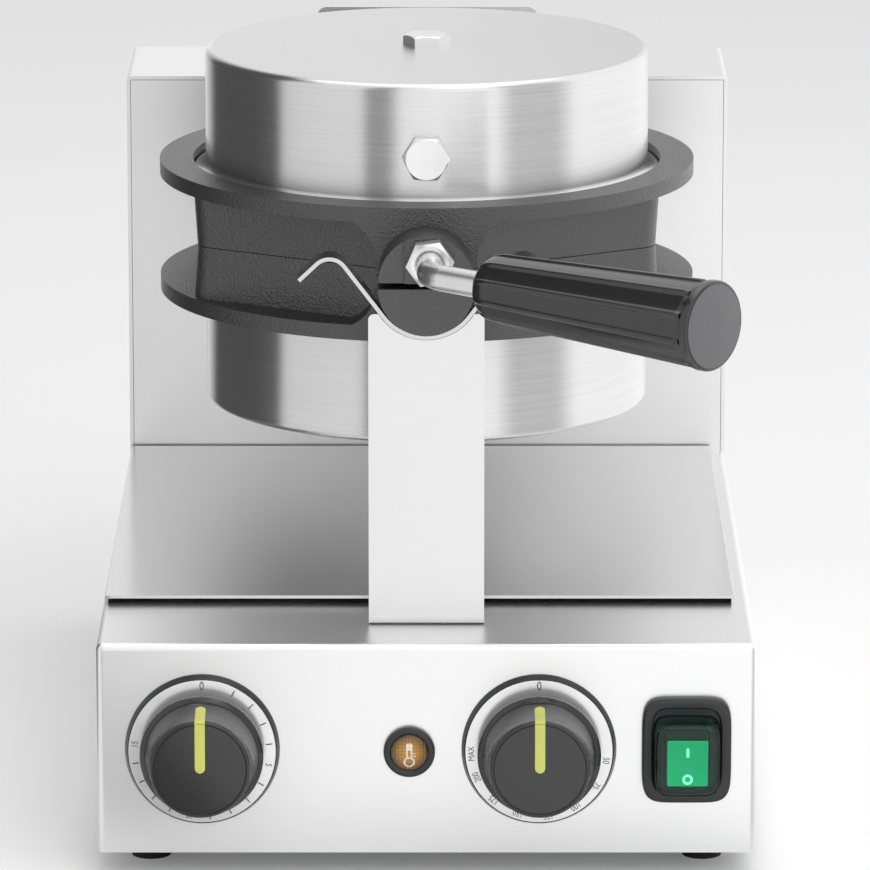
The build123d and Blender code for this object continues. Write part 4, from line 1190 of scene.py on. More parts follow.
@dataclass
class TurningHead:
    """The two steel drums on the castings, with their bolts."""

    maker: Maker
    centre: Triple
    drum_radius: float = 87.0
    lip_radius: float = 91.4
    seat_height: float = 21.5
    drum_end: float = 70.5
    rim_radius: float = 3.0
    foot_radius: float = 3.8
    sheet: float = 1.2
    crown: float = 0.35
    bolt_hole: float = 5.3
    centre_bolt: HexHead = HexHead(height=4.0, turn=30.0)
    front_bolt: HexHead = HexHead(height=6.4, turn=28.0, face_share=0.98, chamfer_slope=0.9)
    front_bolt_height: float = 42.4
    round_points: int = 192
    end_rows: int = 24

    def seat(self, half: str) -> Seat:
        """The middle of the seam, with the outward axis up or down."""
        return Seat(self.centre, up=(0.0, 1.0 if half == "upper" else -1.0, 0.0))

    def build(self) -> None:
        """Build the pieces of both halves."""
        for half in HALVES:
            self._drum(half)
            end = self.seat(half).at(0.0, 0.0, self.drum_end)
            self._bolt(f"{half}_bolt_head", half, f"{half}_centre_bolt", self.centre_bolt, end)
        front = Seat(self.centre, up=(0.0, 0.0, 1.0)).at(0.0, self.front_bolt_height, self.drum_radius)
        self._bolt("front_bolt_head", "upper", "upper_front_bolt", self.front_bolt, front)

    def _drum(self, half: str) -> None:
        """A drawn steel cover: lip, wall, small rim radius and a slightly crowned end.

        The end's height falls off with the square of the distance from its middle.

        Args:
            half: lower or upper.
        """
        wall, end, lip = self.drum_radius, self.drum_end, self.seat_height
        flat, low = wall - self.rim_radius, end - self.crown
        outer = soft_line(
            [
                (self.lip_radius, lip, 0.0),
                (self.lip_radius, lip + self.sheet, self.sheet / 3),
                (wall, lip + self.sheet, self.foot_radius),
                (wall, low, self.rim_radius),
                (flat, low, 0.0),
            ],
            10,
        )
        inner = soft_line(
            [
                (flat, low - self.sheet, 0.0),
                (wall - self.sheet, low - self.sheet, self.rim_radius - self.sheet),
                (wall - self.sheet, lip, 0.0),
            ]
        )
        reach = np.linspace(flat, self.bolt_hole, self.end_rows)
        rise = end - self.crown * ((reach - self.bolt_hole) / (flat - self.bolt_hole)) ** 2
        sheet_top = np.column_stack([reach, rise])
        sheet_low = sheet_top[::-1] - np.array([0.0, self.sheet])
        pieces = (("cover", (outer, inner), "drum_steel"), ("top", (sheet_top, sheet_low), "drum_end"))
        for name, lines, finish in pieces:
            shell = turned(np.concatenate(lines), self.seat(half), self.round_points, looped=True)
            node = f"{half}_drum"
            self.maker.piece(f"{node}_{name}", [shell], f"{half}_half", "drum_steel", [node], finish=finish)

    def _bolt(self, name: str, half: str, node: str, bolt: HexHead, seat: Seat) -> None:
        """One hexagon head on a drum.

        Args:
            name: the piece's name.
            half: lower or upper.
            node: the node that it stands for.
            bolt: the head's sizes.
            seat: the middle of its underside.
        """
        patches = bolt.patches(seat)
        self.maker.piece(name, patches, f"{half}_half", "bright_steel", [node], crease=bolt.crease)


@dataclass
class BubblePlates:
    """The two cast plates in the castings, with round pockets in a honeycomb."""

    maker: Maker
    head: TurningHead
    pocket_radius: float = 11.5
    rim_rounding: float = 0.9
    pitch: float = 25.2
    rings: int = 3
    web: float = 2.3
    back: float = 17.0
    apothem: float = 81.7
    corner_radius: float = 5.7
    edge: float = 0.6
    edge_bow: float = 0.3
    boss_radius: float = 12.0
    boss_height: float = 8.6
    per_side: int = 8
    cell_turn: float = 30.0
    pocket_rows: int = 12
    rim_rows: int = 4

    def build(self) -> None:
        """Build both plates."""
        centres = self._centres()
        outline = hexagon(self.pitch, self.cell_turn, self.per_side)
        local = [self._cell(outline) + np.array([*centre, 0.0]) for centre in centres]
        local.append(self._border(centres, outline))
        for half in HALVES:
            patches = [Patch(self.head.seat(half).carry(grid)) for grid in local]
            node = f"{half}_bubble_plate"
            self.maker.piece(f"{half}_pocket_plate", patches, f"{half}_half", "nonstick_plate", [node])

    def _centres(self) -> np.ndarray:
        """Pocket centres: a triangular lattice, cut to a hexagon of rings about the middle.

        Returns:
            The centres, in millimetres.
        """
        span = np.arange(-self.rings, self.rings + 1)
        column, step = (grid.ravel() for grid in np.meshgrid(span, span))
        keep = np.abs(column + step) <= self.rings
        column, step = column[keep], step[keep]
        return self.pitch * np.column_stack([column * math.sqrt(3) / 2, step + column / 2])

    def _cell(self, outline: np.ndarray) -> np.ndarray:
        """One pocket and the web round it, from its deepest point to its hexagon.

        The pocket is half a sphere about the web's plane: at a tilt, the reach is its radius times
        the cosine and the depth its radius times the sine. A quarter circle rounds its rim, and
        the web is flat from there to the outline.

        Args:
            outline: the hexagon that the pockets share the plate by.

        Returns:
            A grid of points, with a row for each step outwards.
        """
        radius, rounding = self.pocket_radius, self.rim_rounding
        tilt = np.linspace(np.pi / 2, math.asin(rounding / radius), self.pocket_rows)
        turn = np.linspace(0.0, np.pi / 2, self.rim_rows + 1)[1:]
        rim = math.sqrt(radius**2 - rounding**2)
        reach = np.concatenate([radius * np.cos(tilt), rim + rounding * (1 - np.cos(turn))])
        depth = np.concatenate([radius * np.sin(tilt), rounding * (1 - np.sin(turn))])
        ring = outline / np.linalg.norm(outline, axis=-1)[:, None]
        bowl = rows_about(ring, np.column_stack([reach, self.web + depth]))
        return np.concatenate([bowl, raised(outline[None], np.array([self.web]))])

    def _plate_reach(self, angle: np.ndarray) -> np.ndarray:
        """Distance from the middle to the plate's rounded hexagon.

        On a side it is the apothem over the cosine of the angle from the side's middle. At a
        corner it is where the ray meets the corner's circle.

        Args:
            angle: angles about the middle, in radians.

        Returns:
            The distances.
        """
        step = np.pi / 3
        from_side = np.abs((angle + step / 2) % step - step / 2)
        from_corner = step / 2 - from_side
        middle = (self.apothem - self.corner_radius) / math.cos(step / 2)
        inside = self.corner_radius**2 - (middle * np.sin(from_corner)) ** 2
        corner = middle * np.cos(from_corner) + np.sqrt(np.clip(inside, 0.0, None))
        side_end = (self.apothem - self.corner_radius) * math.tan(step / 2)
        on_side = self.apothem * np.tan(from_side) <= side_end
        return np.where(on_side, self.apothem / np.cos(from_side), corner)

    def _border(self, centres: np.ndarray, outline: np.ndarray) -> np.ndarray:
        """The plate outside the cells: web, rounded edge, side, back and boss.

        The cells' outer edges are those whose middle only one cell has. Sorted by angle they are
        the first row, and the other rows stand at the same angles.

        Args:
            centres: the cells' middles.
            outline: the cells' hexagon.

        Returns:
            A grid of points, with a row for each step outwards.
        """
        cells = centres[:, None, :] + outline[None]
        middles = (cells + np.roll(cells, -1, axis=1)).reshape(-1, 2) / 2
        _, first, count = np.unique(middles.round(3), axis=0, return_index=True, return_counts=True)
        start = cells.reshape(-1, 2)[first[count == 1]]
        start = start[np.argsort(np.arctan2(start[:, 1], start[:, 0]))]
        angle = np.arctan2(start[:, 1], start[:, 0])
        reach = self._plate_reach(angle)
        bow, top = self.edge * self.edge_bow, self.back + self.boss_height
        rows = [
            (reach - self.edge, self.web),
            (reach - bow, self.web + bow),
            (reach, self.web + self.edge),
            (reach, self.back),
            (self.boss_radius, self.back),
            (self.boss_radius, top),
            (0.0, top),
        ]
        outside = rows_about(np.column_stack([np.cos(angle), np.sin(angle)]), rows)
        return np.concatenate([raised(start[None], np.array([self.web])), outside])


@dataclass
class Handle:
    """Lock nut, fluted grip and end cap on the cranked rod.

    The grip's end is rounded by rows that each have a distance from the end and an inset.
    """

    maker: Maker
    corner: Triple
    journal_face: float
    angle: float = 40.0
    nut: HexHead = HexHead(height=8.0, bore=5.1, turn=-23.6, face_share=0.9, both_ends=True)
    grip_start: float = 29.0
    grip_length: float = 100.4
    start_radius: float = 13.0
    end_radius: float = 16.6
    end_rows: tuple[tuple[float, float], ...] = ((1.0, 0.0), (0.4, 0.15), (0.0, 0.6))
    nose_length: float = 8.0
    nose_drop: float = 3.0
    nose_rows: int = 12
    flutes: int = 10
    flute_turn: float = 15.0
    flute_depth: float = 1.4
    flute_side: float = 0.7
    rib_half_angle: float = 4.4
    neck_radius: float = 15.4
    neck: float = 1.0
    cap_radius: float = 16.7
    cap_thickness: float = 3.8
    cap_rounding: float = 1.2
    cap_recess: float = 0.4
    face_gap: float = 0.05
    rod_radius: float = 5.1
    bore_depth: float = 3.0
    columns: int = 240
    rows: int = 60
    cap_columns: int = 128
    grip_crease: float = 50.0

    def seat(self, distance: float) -> Seat:
        """A place on the handle's axis, with the outward axis along the handle.

        Args:
            distance: how far it is from the rod's corner, in millimetres.

        Returns:
            The place.
        """
        sine, cosine = math.sin(math.radians(self.angle)), math.cos(math.radians(self.angle))
        return Seat(self.corner, right=(sine, cosine, 0.0), up=(0.0, 0.0, 1.0)).at(0.0, 0.0, distance)

    def build(self) -> None:
        """Build the nut, the grip and the cap."""
        nut_seat = Seat((self.corner[0], self.journal_face, self.corner[2]), up=(0.0, 0.0, 1.0))
        nut = self.nut.patches(nut_seat)
        self._piece("lock_nut", nut, "bright_steel", "handle_nut", crease=self.nut.crease)
        self._grip()
        self._cap()

    def _piece(self, name: str, patches: list[Patch], slot: str, node: str, **looks: str | float) -> None:
        """A piece of the handle, which rides on the upper half."""
        self.maker.piece(name, patches, "upper_half", slot, [node], **looks)

    def _grip(self) -> None:
        """The tapered grip with scooped flutes between round ribs.

        The radius along the grip rises from the nose to the end. Round the grip it is drawn in by
        the flute's depth, except near a rib, where a bell curve of the angle from the rib brings
        it back out; the scoop is deepest in the middle of a flute.
        """
        end = np.array(self.end_rows)
        along = np.concatenate(
            [
                self.nose_length * (1 - np.cos(np.linspace(0, np.pi / 2, self.nose_rows))),
                np.linspace(self.nose_length, self.grip_length - end[0, 0], self.rows)[1:],
                self.grip_length - end[1:, 0],
            ]
        )
        nose = np.clip(along / self.nose_length, 0, 1)
        reach = self.start_radius + (self.end_radius - self.start_radius) * along / self.grip_length
        reach -= self.nose_drop * (1 - np.sqrt(1 - (1 - nose) ** 2))
        reach[-len(end) :] -= end[:, 1]
        angle = np.linspace(0, 360, self.columns, endpoint=False)
        step = 360 / self.flutes
        from_rib = np.abs((angle - self.flute_turn + step / 2) % step - step / 2)
        rib = np.exp(-((from_rib / self.rib_half_angle) ** 4))
        scoop = self.flute_side + (1 - self.flute_side) * np.sin(np.pi * from_rib / step)
        depth = self.flute_depth * (reach / self.end_radius)[:, None] * scoop * (1 - rib)
        radius = reach[:, None] - depth * nose[:, None] ** 0.5
        rows = [(0.0, self.bore_depth), (self.rod_radius, self.bore_depth), (self.rod_radius, 0.0)]
        rows += [*zip(radius, along), (0.0, self.grip_length)]
        grid = rows_about(circle(self.columns), rows)
        patches = [Patch(self.seat(self.grip_start).carry(grid))]
        self._piece("fluted_grip", patches, "grip_bakelite", "handle_grip", crease=self.grip_crease)

    def _cap(self) -> None:
        """The end cap: a neck in the gap, a rim with a rounded edge and a face let into it."""
        top = self.neck + self.cap_thickness
        face, low = self.cap_radius - self.cap_rounding, top - self.cap_recess
        inner = face - self.face_gap
        rim = soft_line(
            [
                (0.0, -self.neck, 0.0),
                (self.neck_radius, -self.neck, 0.0),
                (self.neck_radius, self.neck, 0.0),
                (self.cap_radius, self.neck, 0.5),
                (self.cap_radius, top, self.cap_rounding),
                (face, top, 0.0),
                (face, low, 0.0),
                (0.0, low, 0.0),
            ],
            8,
        )
        disc = soft_line([(0.0, low, 0.0), (inner, low, 0.0), (inner, top, 0.1), (0.0, top, 0.0)], 4)
        seat = self.seat(self.grip_start + self.grip_length)
        for name, profile, finish in (("grip_cap", rim, "grip_bakelite"), ("cap_face", disc, "cap_plastic")):
            cap = turned(profile, seat, self.cap_columns)
            self._piece(name, [cap], "cap_plastic", "handle_cap", finish=finish)


def minute_marks(first: float = 27.5, step: float = 18.9, shrink: float = 0.08) -> list[tuple[float, str]]:
    """Marks for fifteen minutes, with a number at each fifth.

    The angle is first + step * count - shrink * count squared.

    Args:
        first: angle of the first minute, in degrees.
        step: angle between minutes at the start.
        shrink: how the steps shrink on the way.

    Returns:
        The angle and the label of each mark.
    """
    counts = range(15)
    labels = [str(count + 1) if count % 5 == 4 else "" for count in counts]
    return [(first + step * count - shrink * count**2, labels[count]) for count in counts]


class DialMarks(Enum):
    """Numbers and ticks on each dial's ring: clockwise degrees from the top and the label."""

    TIMER = ((0.0, "0"), *minute_marks())
    THERMOSTAT = (
        (0.0, "0"),
        (98.0, "50"),
        (122.0, "75"),
        (147.0, "100"),
        (172.0, "125"),
        (198.0, "150"),
        (222.0, "175"),
        (247.0, "200"),
        (268.0, "MAX"),
    )


@dataclass
class Dial:
    """One dial: scale ring with its print, knob and pointer."""

    maker: Maker
    name: str
    marks: DialMarks
    seat: Seat
    ring_radius: float = 29.4
    face_radius: float = 27.9
    ring_hole: float = 12.2
    ring_thickness: float = 3.8
    ring_edge: float = 0.5
    face_floor: float = 0.4
    face_chamfer: float = 0.1
    mark_radius: float = 25.6
    tick_length: float = 2.6
    tick_width: float = 0.45
    number_height: float = 2.5
    zero_height: float = 3.4
    size_of_height: float = 1.38
    letter_width: float = 0.78
    print_height: float = 0.05
    print_root: float = 0.02
    knob_base: float = 9.2
    knob_height: float = 20.4
    skirt_radius: float = 23.4
    skirt_edge: float = 1.6
    root_radius: float = 21.4
    root_rise: float = 3.2
    top_radius: float = 19.0
    rounding: float = 1.2
    flare: float = 2.087
    groove_radius: float = 17.2
    groove_width: float = 0.5
    groove_depth: float = 0.4
    dome: float = 0.6
    pointer_width: float = 3.9
    pointer_lift: float = 0.4
    pointer_reach: float = 20.7
    pointer_back: float = 1.1
    pointer_end_rows: int = 9
    pointer_row_gap: float = 0.02
    flare_rows: int = 22
    dome_rows: int = 16
    round_points: int = 160

    def build(self) -> None:
        """Build the dial's pieces."""
        self._ring()
        self._print()
        self._knob()
        self._pointer()

    def _ring(self) -> None:
        """The silver face, and the dark bevelled rim round it."""
        top, face, hole = self.ring_thickness, self.face_radius, self.ring_hole
        low, cut = self.face_floor, self.face_chamfer
        silver = np.array([(hole, low), (face, low), (face, top - cut), (face - cut, top), (hole, top)])
        rim = soft_line(
            [
                (face + 0.02, 0.0, 0.0),
                (self.ring_radius, 0.0, 0.0),
                (self.ring_radius, self.ring_edge, 0.4),
                (face + 0.3, top - 0.05, 0.35),
                (face + 0.02, top - 0.15, 0.0),
            ],
            8,
        )
        nodes = [f"{self.name}_scale_ring"]
        for name, profile, finish in (("face", silver, "scale_metal"), ("rim", rim, "rim_metal")):
            shell = turned(profile, self.seat, self.round_points, looped=True)
            piece = f"{self.name}_ring_{name}"
            self.maker.piece(piece, [shell], "base", "scale_metal", nodes, finish=finish)

    def _print(self) -> None:
        """The ticks and numbers, printed on the ring's face with their tops outwards."""
        low, high = self.ring_thickness - self.print_root, self.ring_thickness + self.print_height
        ticks = []
        for degrees, label in self.marks.value:
            if label:
                continue
            outline = bar(self.tick_width, self.tick_length, (0.0, self.mark_radius), degrees)
            ticks.append(Patch(self.seat.carry(plate(outline, low, high))))
        if ticks:
            self.maker.piece(f"{self.name}_ticks", ticks, "base", "scale_metal", finish="grey_print")
        for degrees, label in self.marks.value:
            if label:
                self._number(degrees, label, low, high)

    def _number(self, degrees: float, label: str, low: float, high: float) -> None:
        """One number of the scale.

        Args:
            degrees: its place, clockwise from the top.
            label: the number.
            low: height of its underside.
            high: height of its top.
        """
        curve = bpy.data.curves.new(label, "FONT")
        curve.body = label
        curve.align_x, curve.align_y = "CENTER", "CENTER"
        curve.size = (self.zero_height if label == "0" else self.number_height) * self.size_of_height
        curve.extrude = (high - low) / 2
        holder = bpy.data.objects.new(label, curve)
        mesh = bpy.data.meshes.new_from_object(holder)
        spots = np.empty(len(mesh.vertices) * 3)
        mesh.vertices.foreach_get("co", spots)
        spots = spots.reshape(-1, 3) * np.array([self.letter_width, 1.0, 1.0])
        spots += np.array([0.0, self.mark_radius, (low + high) / 2])
        spots[:, :2] = spots[:, :2] @ clockwise(degrees)
        mesh.vertices.foreach_set("co", self.seat.carry(spots).ravel())
        bpy.data.objects.remove(holder)
        bpy.data.curves.remove(curve)
        name = f"{self.name}_number_{label}"
        self.maker.piece(name, mesh, "base", "scale_metal", finish="grey_print", crease=30.0)

    def _wall(self) -> np.ndarray:
        """The knob's outer line: skirt, bevelled rim, hollow flare, rounded top and its groove.

        Over the flare the radius is the top's radius plus the root's extra times a power of the
        share of height that is left, so that the wall is hollow and almost upright at the top.
        Inside the groove the top is a shallow dome, a parabola of the distance from its middle.

        Returns:
            Radius and height of each point, from the skirt to the middle of the top.
        """
        base, bead_top = self.knob_base, self.knob_base + self.knob_height - self.dome
        root = base + self.root_rise
        share = np.linspace(0.0, 1.0, self.flare_rows)[1:]
        extra = self.root_radius - self.top_radius
        rise = root + share * (bead_top - self.rounding - 0.2 - root)
        flare = np.column_stack([self.top_radius + extra * (1 - share) ** self.flare, rise])
        edge = soft_line(
            [
                (self.skirt_radius - 0.3, base, 0.0),
                (self.skirt_radius, base + 0.3, 0.2),
                (self.skirt_radius, base + self.skirt_edge, 0.6),
                (self.root_radius + 0.25, root - 0.1, 0.25),
                (self.root_radius - 0.12, root - 0.25, 0.12),
                (self.root_radius - 0.05, root + 0.3, 0.0),
            ]
        )
        groove = self.groove_radius
        bead = soft_line(
            [
                (self.top_radius, bead_top - self.rounding - 0.1, 0.0),
                (self.top_radius, bead_top, self.rounding),
                (groove + self.groove_width, bead_top, 0.2),
                (groove + self.groove_width * 0.7, bead_top - self.groove_depth, 0.1),
                (groove + self.groove_width * 0.2, bead_top - self.groove_depth, 0.1),
                (groove, bead_top - 0.05, 0.2),
                (groove - 0.3, bead_top, 0.0),
            ],
            7,
        )
        reach = np.linspace(groove - 0.6, 0.0, self.dome_rows)
        dome = np.column_stack([reach, bead_top + self.dome * (1 - (reach / groove) ** 2)])
        return np.concatenate([edge, flare, bead, dome])

    def _knob(self) -> None:
        """The knob, turned from its outer line and closed below."""
        low = self.knob_base + 0.4
        profile = np.concatenate([[(0.0, low), (self.skirt_radius - 1.0, low)], self._wall()])
        body = turned(profile, self.seat, self.round_points)
        self._moving("knob_body", body, "knob_plastic", "knob", 28.0)

    def _moving(self, name: str, patch: Patch, slot: str, node: str, crease: float) -> None:
        """A piece that turns with the dial.

        Args:
            name: the piece's name, after the dial's.
            patch: its surface.
            slot: the record's material slot.
            node: the node that it stands for, after the dial's name.
            crease: edges sharper than this stay sharp, in degrees.
        """
        dial = self.name
        self.maker.piece(f"{dial}_{name}", [patch], f"{dial}_dial", slot, [f"{dial}_{node}"], crease=crease)

    def _pointer(self) -> None:
        """The pointer bar, laid over the knob from behind the middle of its top to the flare.

        It follows the knob's outer line, without the groove, at a steady lift. Its half width at
        each end shrinks as a half circle, and its section is a flat top with rounded sides.
        """
        top = self.knob_base + self.knob_height - self.dome
        wall = self._wall()[::-1]
        bridge = (wall[:, 0] > self.groove_radius - 0.2) & (wall[:, 0] < self.groove_radius + 0.7)
        wall = wall[~(bridge & (wall[:, 1] < top - 0.01) & (wall[:, 1] > top - self.rounding))]
        keep = (wall[:, 0] <= self.pointer_reach) & (wall[:, 1] > self.knob_base + self.root_rise + 0.4)
        line = np.concatenate([[(-self.pointer_back, wall[0, 1])], wall[keep]])
        step = np.linalg.norm(np.diff(line, axis=0), axis=1)
        run = np.concatenate([[0.0], np.cumsum(step)])
        half = self.pointer_width / 2
        ends = half * (1 - np.cos(np.linspace(0, np.pi / 2, self.pointer_end_rows)))
        spots = np.unique(np.concatenate([ends, run, run[-1] - ends]))
        spots = spots[np.concatenate([[True], np.diff(spots) > self.pointer_row_gap])]
        path = np.column_stack([np.interp(spots, run, line[:, 0]), np.interp(spots, run, line[:, 1])])
        smooth = np.gradient(path, spots, axis=0)
        smooth /= np.linalg.norm(smooth, axis=1)[:, None]
        normal = np.column_stack([-smooth[:, 1], smooth[:, 0]])
        from_end = np.minimum(spots, run[-1] - spots)
        width = np.sqrt(np.clip(half**2 - np.clip(half - from_end, 0, half) ** 2, 0.0, None))
        across = np.array([-1.0, -1.0, -0.94, -0.8, 0.0, 0.8, 0.94, 1.0, 1.0])
        lift = np.array([-1.1, 0.55, 0.85, 1.0, 1.0, 1.0, 0.85, 0.55, -1.1]) * self.pointer_lift
        reach = path[:, None, :] + normal[:, None, :] * lift[None, :, None]
        local = np.concatenate([(width[:, None] * across)[..., None], reach], axis=-1)
        self._moving("pointer_bar", Patch(self.seat.carry(local)), "pointer_plastic", "pointer", 50.0)


@dataclass
class IndicatorLamp:
    """Round lamp: black bezel, faceted amber lens and a thermometer sign on it."""

    maker: Maker
    seat: Seat
    bezel_radius: float = 9.75
    bezel_height: float = 2.8
    bezel_floor: float = 0.3
    lens_radius: float = 7.0
    lens_gap: float = 0.15
    lens_drop: float = 0.5
    dome: float = 1.7
    facet: float = 0.3
    facet_pitch: float = 1.25
    facet_fade: float = 1.2
    lens_rows: int = 40
    lens_columns: int = 120
    lens_root: float = 0.5
    sign_root: float = 0.05
    sign_top: float = 0.2
    bulb_drop: float = 3.3
    bulb_outer: float = 2.2
    bulb_inner: float = 1.45
    bulb_overlap: float = 0.35
    stem_half: float = 1.25
    stem_wall: float = 0.75
    stem_top: float = 4.0
    channel_top: float = 1.3
    wall_drop: float = 1.0
    tick: tuple[float, float] = (1.0, 0.4)
    tick_gap: float = 0.8
    tick_places: tuple[float, float] = (0.0, -1.0)

    def build(self) -> None:
        """Build the lamp's pieces."""
        rim, low, well = self.bezel_height, self.bezel_floor, self.lens_radius + self.lens_gap
        profile = soft_line(
            [
                (0.0, low, 0.0),
                (well, low, 0.0),
                (well, rim - 0.5, 0.15),
                (self.lens_radius + 1.0, rim, 0.5),
                (self.bezel_radius, rim - 0.3, 0.9),
                (self.bezel_radius, 0.0, 0.0),
                (0.0, 0.0, 0.0),
            ]
        )
        self.maker.piece("lamp_ring", [turned(profile, self.seat)], "base", "frame_plastic", ["lamp_bezel"])
        self._lens()
        self._sign()

    def _dome(self, reach: np.ndarray) -> np.ndarray:
        """Height of the lens: a parabola from the dome's top to the bezel."""
        return self.bezel_height - self.lens_drop + self.dome * (1 - (reach / self.lens_radius) ** 2)

    def _lens(self) -> None:
        """The lens: a dome under a diamond grid, the product of two slanted cosines."""
        reach = np.linspace(0, self.lens_radius, self.lens_rows)[:, None]
        unit = circle(self.lens_columns)
        across, up = reach * unit[None, :, 0], reach * unit[None, :, 1]
        wave = np.cos(np.pi * (across + up) / self.facet_pitch)
        wave *= np.cos(np.pi * (across - up) / self.facet_pitch)
        fade = np.clip((self.lens_radius - reach) / self.facet_fade, 0, 1)
        top = np.stack([across, up, self._dome(reach) + self.facet * wave * fade], axis=-1)
        low = rows_about(unit, [(self.lens_radius, self.lens_root), (0.0, self.lens_root)])
        grid = np.concatenate([top, low])
        patches = [Patch(self.seat.carry(grid))]
        self.maker.piece("lamp_dome", patches, "base", "amber_lens", ["lamp_lens"], crease=60.0)

    def _sign(self) -> None:
        """The thermometer: a bulb ring, a stem of two walls, its filled top and two ticks."""
        low, high = self.sign_root, self.sign_top
        bottom = -self.bulb_drop + self.bulb_outer - self.bulb_overlap
        neck = self.stem_half - self.stem_wall / 2
        height = self.stem_top - self.wall_drop - bottom
        fill = self.stem_top - self.channel_top
        outlines = [bar(self.stem_wall, height, (place, bottom + height / 2)) for place in (-neck, neck)]
        cap = bulged_rectangle((self.stem_half, fill / 2), 3.2, 32)
        outlines.append(cap + np.array([0.0, self.channel_top + fill / 2]))
        side = self.stem_half + self.tick_gap
        outlines += [bar(*self.tick, (side, place)) for place in self.tick_places]
        bulb = band(self.bulb_inner, self.bulb_outer, low, high, 40) - np.array([0.0, self.bulb_drop, 0.0])
        patches = []
        for grid in (bulb, *(plate(outline, low, high) for outline in outlines)):
            grid[..., 2] += self._dome(np.linalg.norm(grid[..., :2], axis=-1))
            patches.append(Patch(self.seat.carry(grid), looped=grid is bulb))
        self.maker.piece("lamp_sign", patches, "base", "amber_lens", finish="cream_print")


@dataclass
class RockerSwitch:
    """Rocker switch: bulged frame, green rocker with its marks, clear splash cover.

    The key's edge is rounded by rows that each have an inset and a drop below its face.
    """

    maker: Maker
    seat: Seat
    frame_half: tuple[float, float] = (17.0, 20.65)
    frame_power: float = 5.5
    bezel: float = 3.6
    recess: float = 1.6
    recess_inset: float = 3.9
    drop: float = 0.9
    cover_half: tuple[float, float] = (12.85, 14.7)
    cover_power: float = 6.0
    cover_rise: float = 13.2
    cover_taper: float = 0.8
    cover_wall: float = 0.8
    cover_crown: float = 1.2
    cover_guard: float = 0.15
    rocker_half: tuple[float, float] = (7.75, 9.25)
    rocker_power: float = 24.0
    rocker_tilt: float = 7.0
    pivot_drop: float = 3.6
    rocker_rise: float = 8.0
    rocker_depth: float = 14.0
    key_edge: tuple[tuple[float, float], ...] = ((0.0, 0.45), (0.1, 0.15), (0.4, 0.0))
    body_inset: float = 0.1
    face_skin: float = 0.7
    face_rows: int = 10
    face_share: float = 0.9
    frame_points: int = 160
    cover_points: int = 128
    rocker_points: int = 200
    mark_root: float = -0.1
    mark_height: float = 0.12
    stroke: tuple[float, float] = (1.1, 3.9)
    stroke_place: tuple[float, float] = (0.0, 4.3)
    ring: tuple[float, float] = (1.05, 2.0)
    ring_place: float = -6.5

    def build(self) -> None:
        """Build the switch's pieces."""
        self._frame()
        self._cover()
        self._rocker()
        self._marks()

    def _frame(self) -> None:
        """The frame: a bulged outline carried up, over a rounded rim and down into a recess."""
        outline = bulged_rectangle(self.frame_half, self.frame_power, self.frame_points)
        inset, top = self.recess_inset, self.bezel
        floor, well = top - self.recess, self.frame_half[0] - self.rocker_half[0]
        profile = soft_line(
            [
                (0.3, 0.0, 0.0),
                (0.0, 0.6, 0.3),
                (0.15, top - 0.4, 1.1),
                (1.6, top, 1.2),
                (inset - 0.2, top - 0.1, 0.4),
                (inset + 0.2, floor, 0.3),
                (well - 0.7, floor, 0.3),
                (well - 0.6, -6.0, 0.0),
            ],
            5,
        )
        below = np.array([(self.frame_half[0] - 1.0, 0.0), (0.3, 0.0)])
        shell = Patch(self.seat.carry(drawn_in(outline, np.concatenate([below, profile]))), looped=True)
        self.maker.piece("switch_bezel", [shell], "base", "frame_plastic", ["switch_frame"])

    def _dropped(self) -> Seat:
        """The seat of the cover and the rocker, which stand a little below the frame's middle."""
        return self.seat.at(0.0, -self.drop, 0.0)

    def _cover(self) -> None:
        """The splash cover: a tapered box of thin wall with a rounded crown, open at its base.

        A row lies close inside each end of a rounding, so that the flat faces beside it stay flat.
        """
        outline = bulged_rectangle(self.cover_half, self.cover_power, self.cover_points)
        low, wall, crown = self.bezel - self.recess, self.cover_wall, self.cover_crown
        top, taper, half = low + self.cover_rise, self.cover_taper, self.cover_half[0]
        slope, guard = taper / self.cover_rise, self.cover_guard
        lean = slope * (crown + guard)
        outer = soft_line(
            [
                (0.0, low, 0.0),
                (slope * guard, low + guard, 0.0),
                (taper - lean, top - crown - guard, 0.0),
                (taper, top, crown),
                (taper + crown + guard, top, 0.0),
                (half, top, 0.0),
            ],
            8,
        )
        inner = soft_line(
            [
                (half, top - wall, 0.0),
                (taper + crown + guard, top - wall, 0.0),
                (taper + wall, top - wall, crown - wall / 2),
                (taper + wall - lean, top - crown - guard, 0.0),
                (wall + slope * guard, low + guard, 0.0),
                (wall, low, 0.0),
            ]
        )
        grid = drawn_in(outline, np.concatenate([outer, inner]))
        shell = Patch(self._dropped().carry(grid), looped=True)
        self.maker.piece("splash_cover", [shell], "base", "clear_cover", ["switch_cover"])

    def _tilted(self, local: np.ndarray) -> np.ndarray:
        """Turn local points by the rocker's tilt about its pivot, so that the upper end stands out.

        Args:
            local: the points before the turn.

        Returns:
            The points in the frame.
        """
        pivot = np.array([0.0, self.bezel - self.pivot_drop])
        tilted = local.copy()
        tilted[..., 1:] = (local[..., 1:] - pivot) @ clockwise(-self.rocker_tilt) + pivot
        return self._dropped().carry(tilted)

    def _crest(self, up: np.ndarray) -> np.ndarray:
        """Height of the rocker's face: hollow, a smooth V that rises towards both ends."""
        slope = math.tan(math.radians(self.rocker_tilt))
        return self.bezel + self.rocker_rise + slope * (np.sqrt(up**2 + 1.0) - 1.0)

    def _rocker(self) -> None:
        """The rocker's hollow face with rounded edges, and the body under it."""
        outline = bulged_rectangle(self.rocker_half, self.rocker_power, self.rocker_points)
        half = np.abs(outline).max(axis=0)

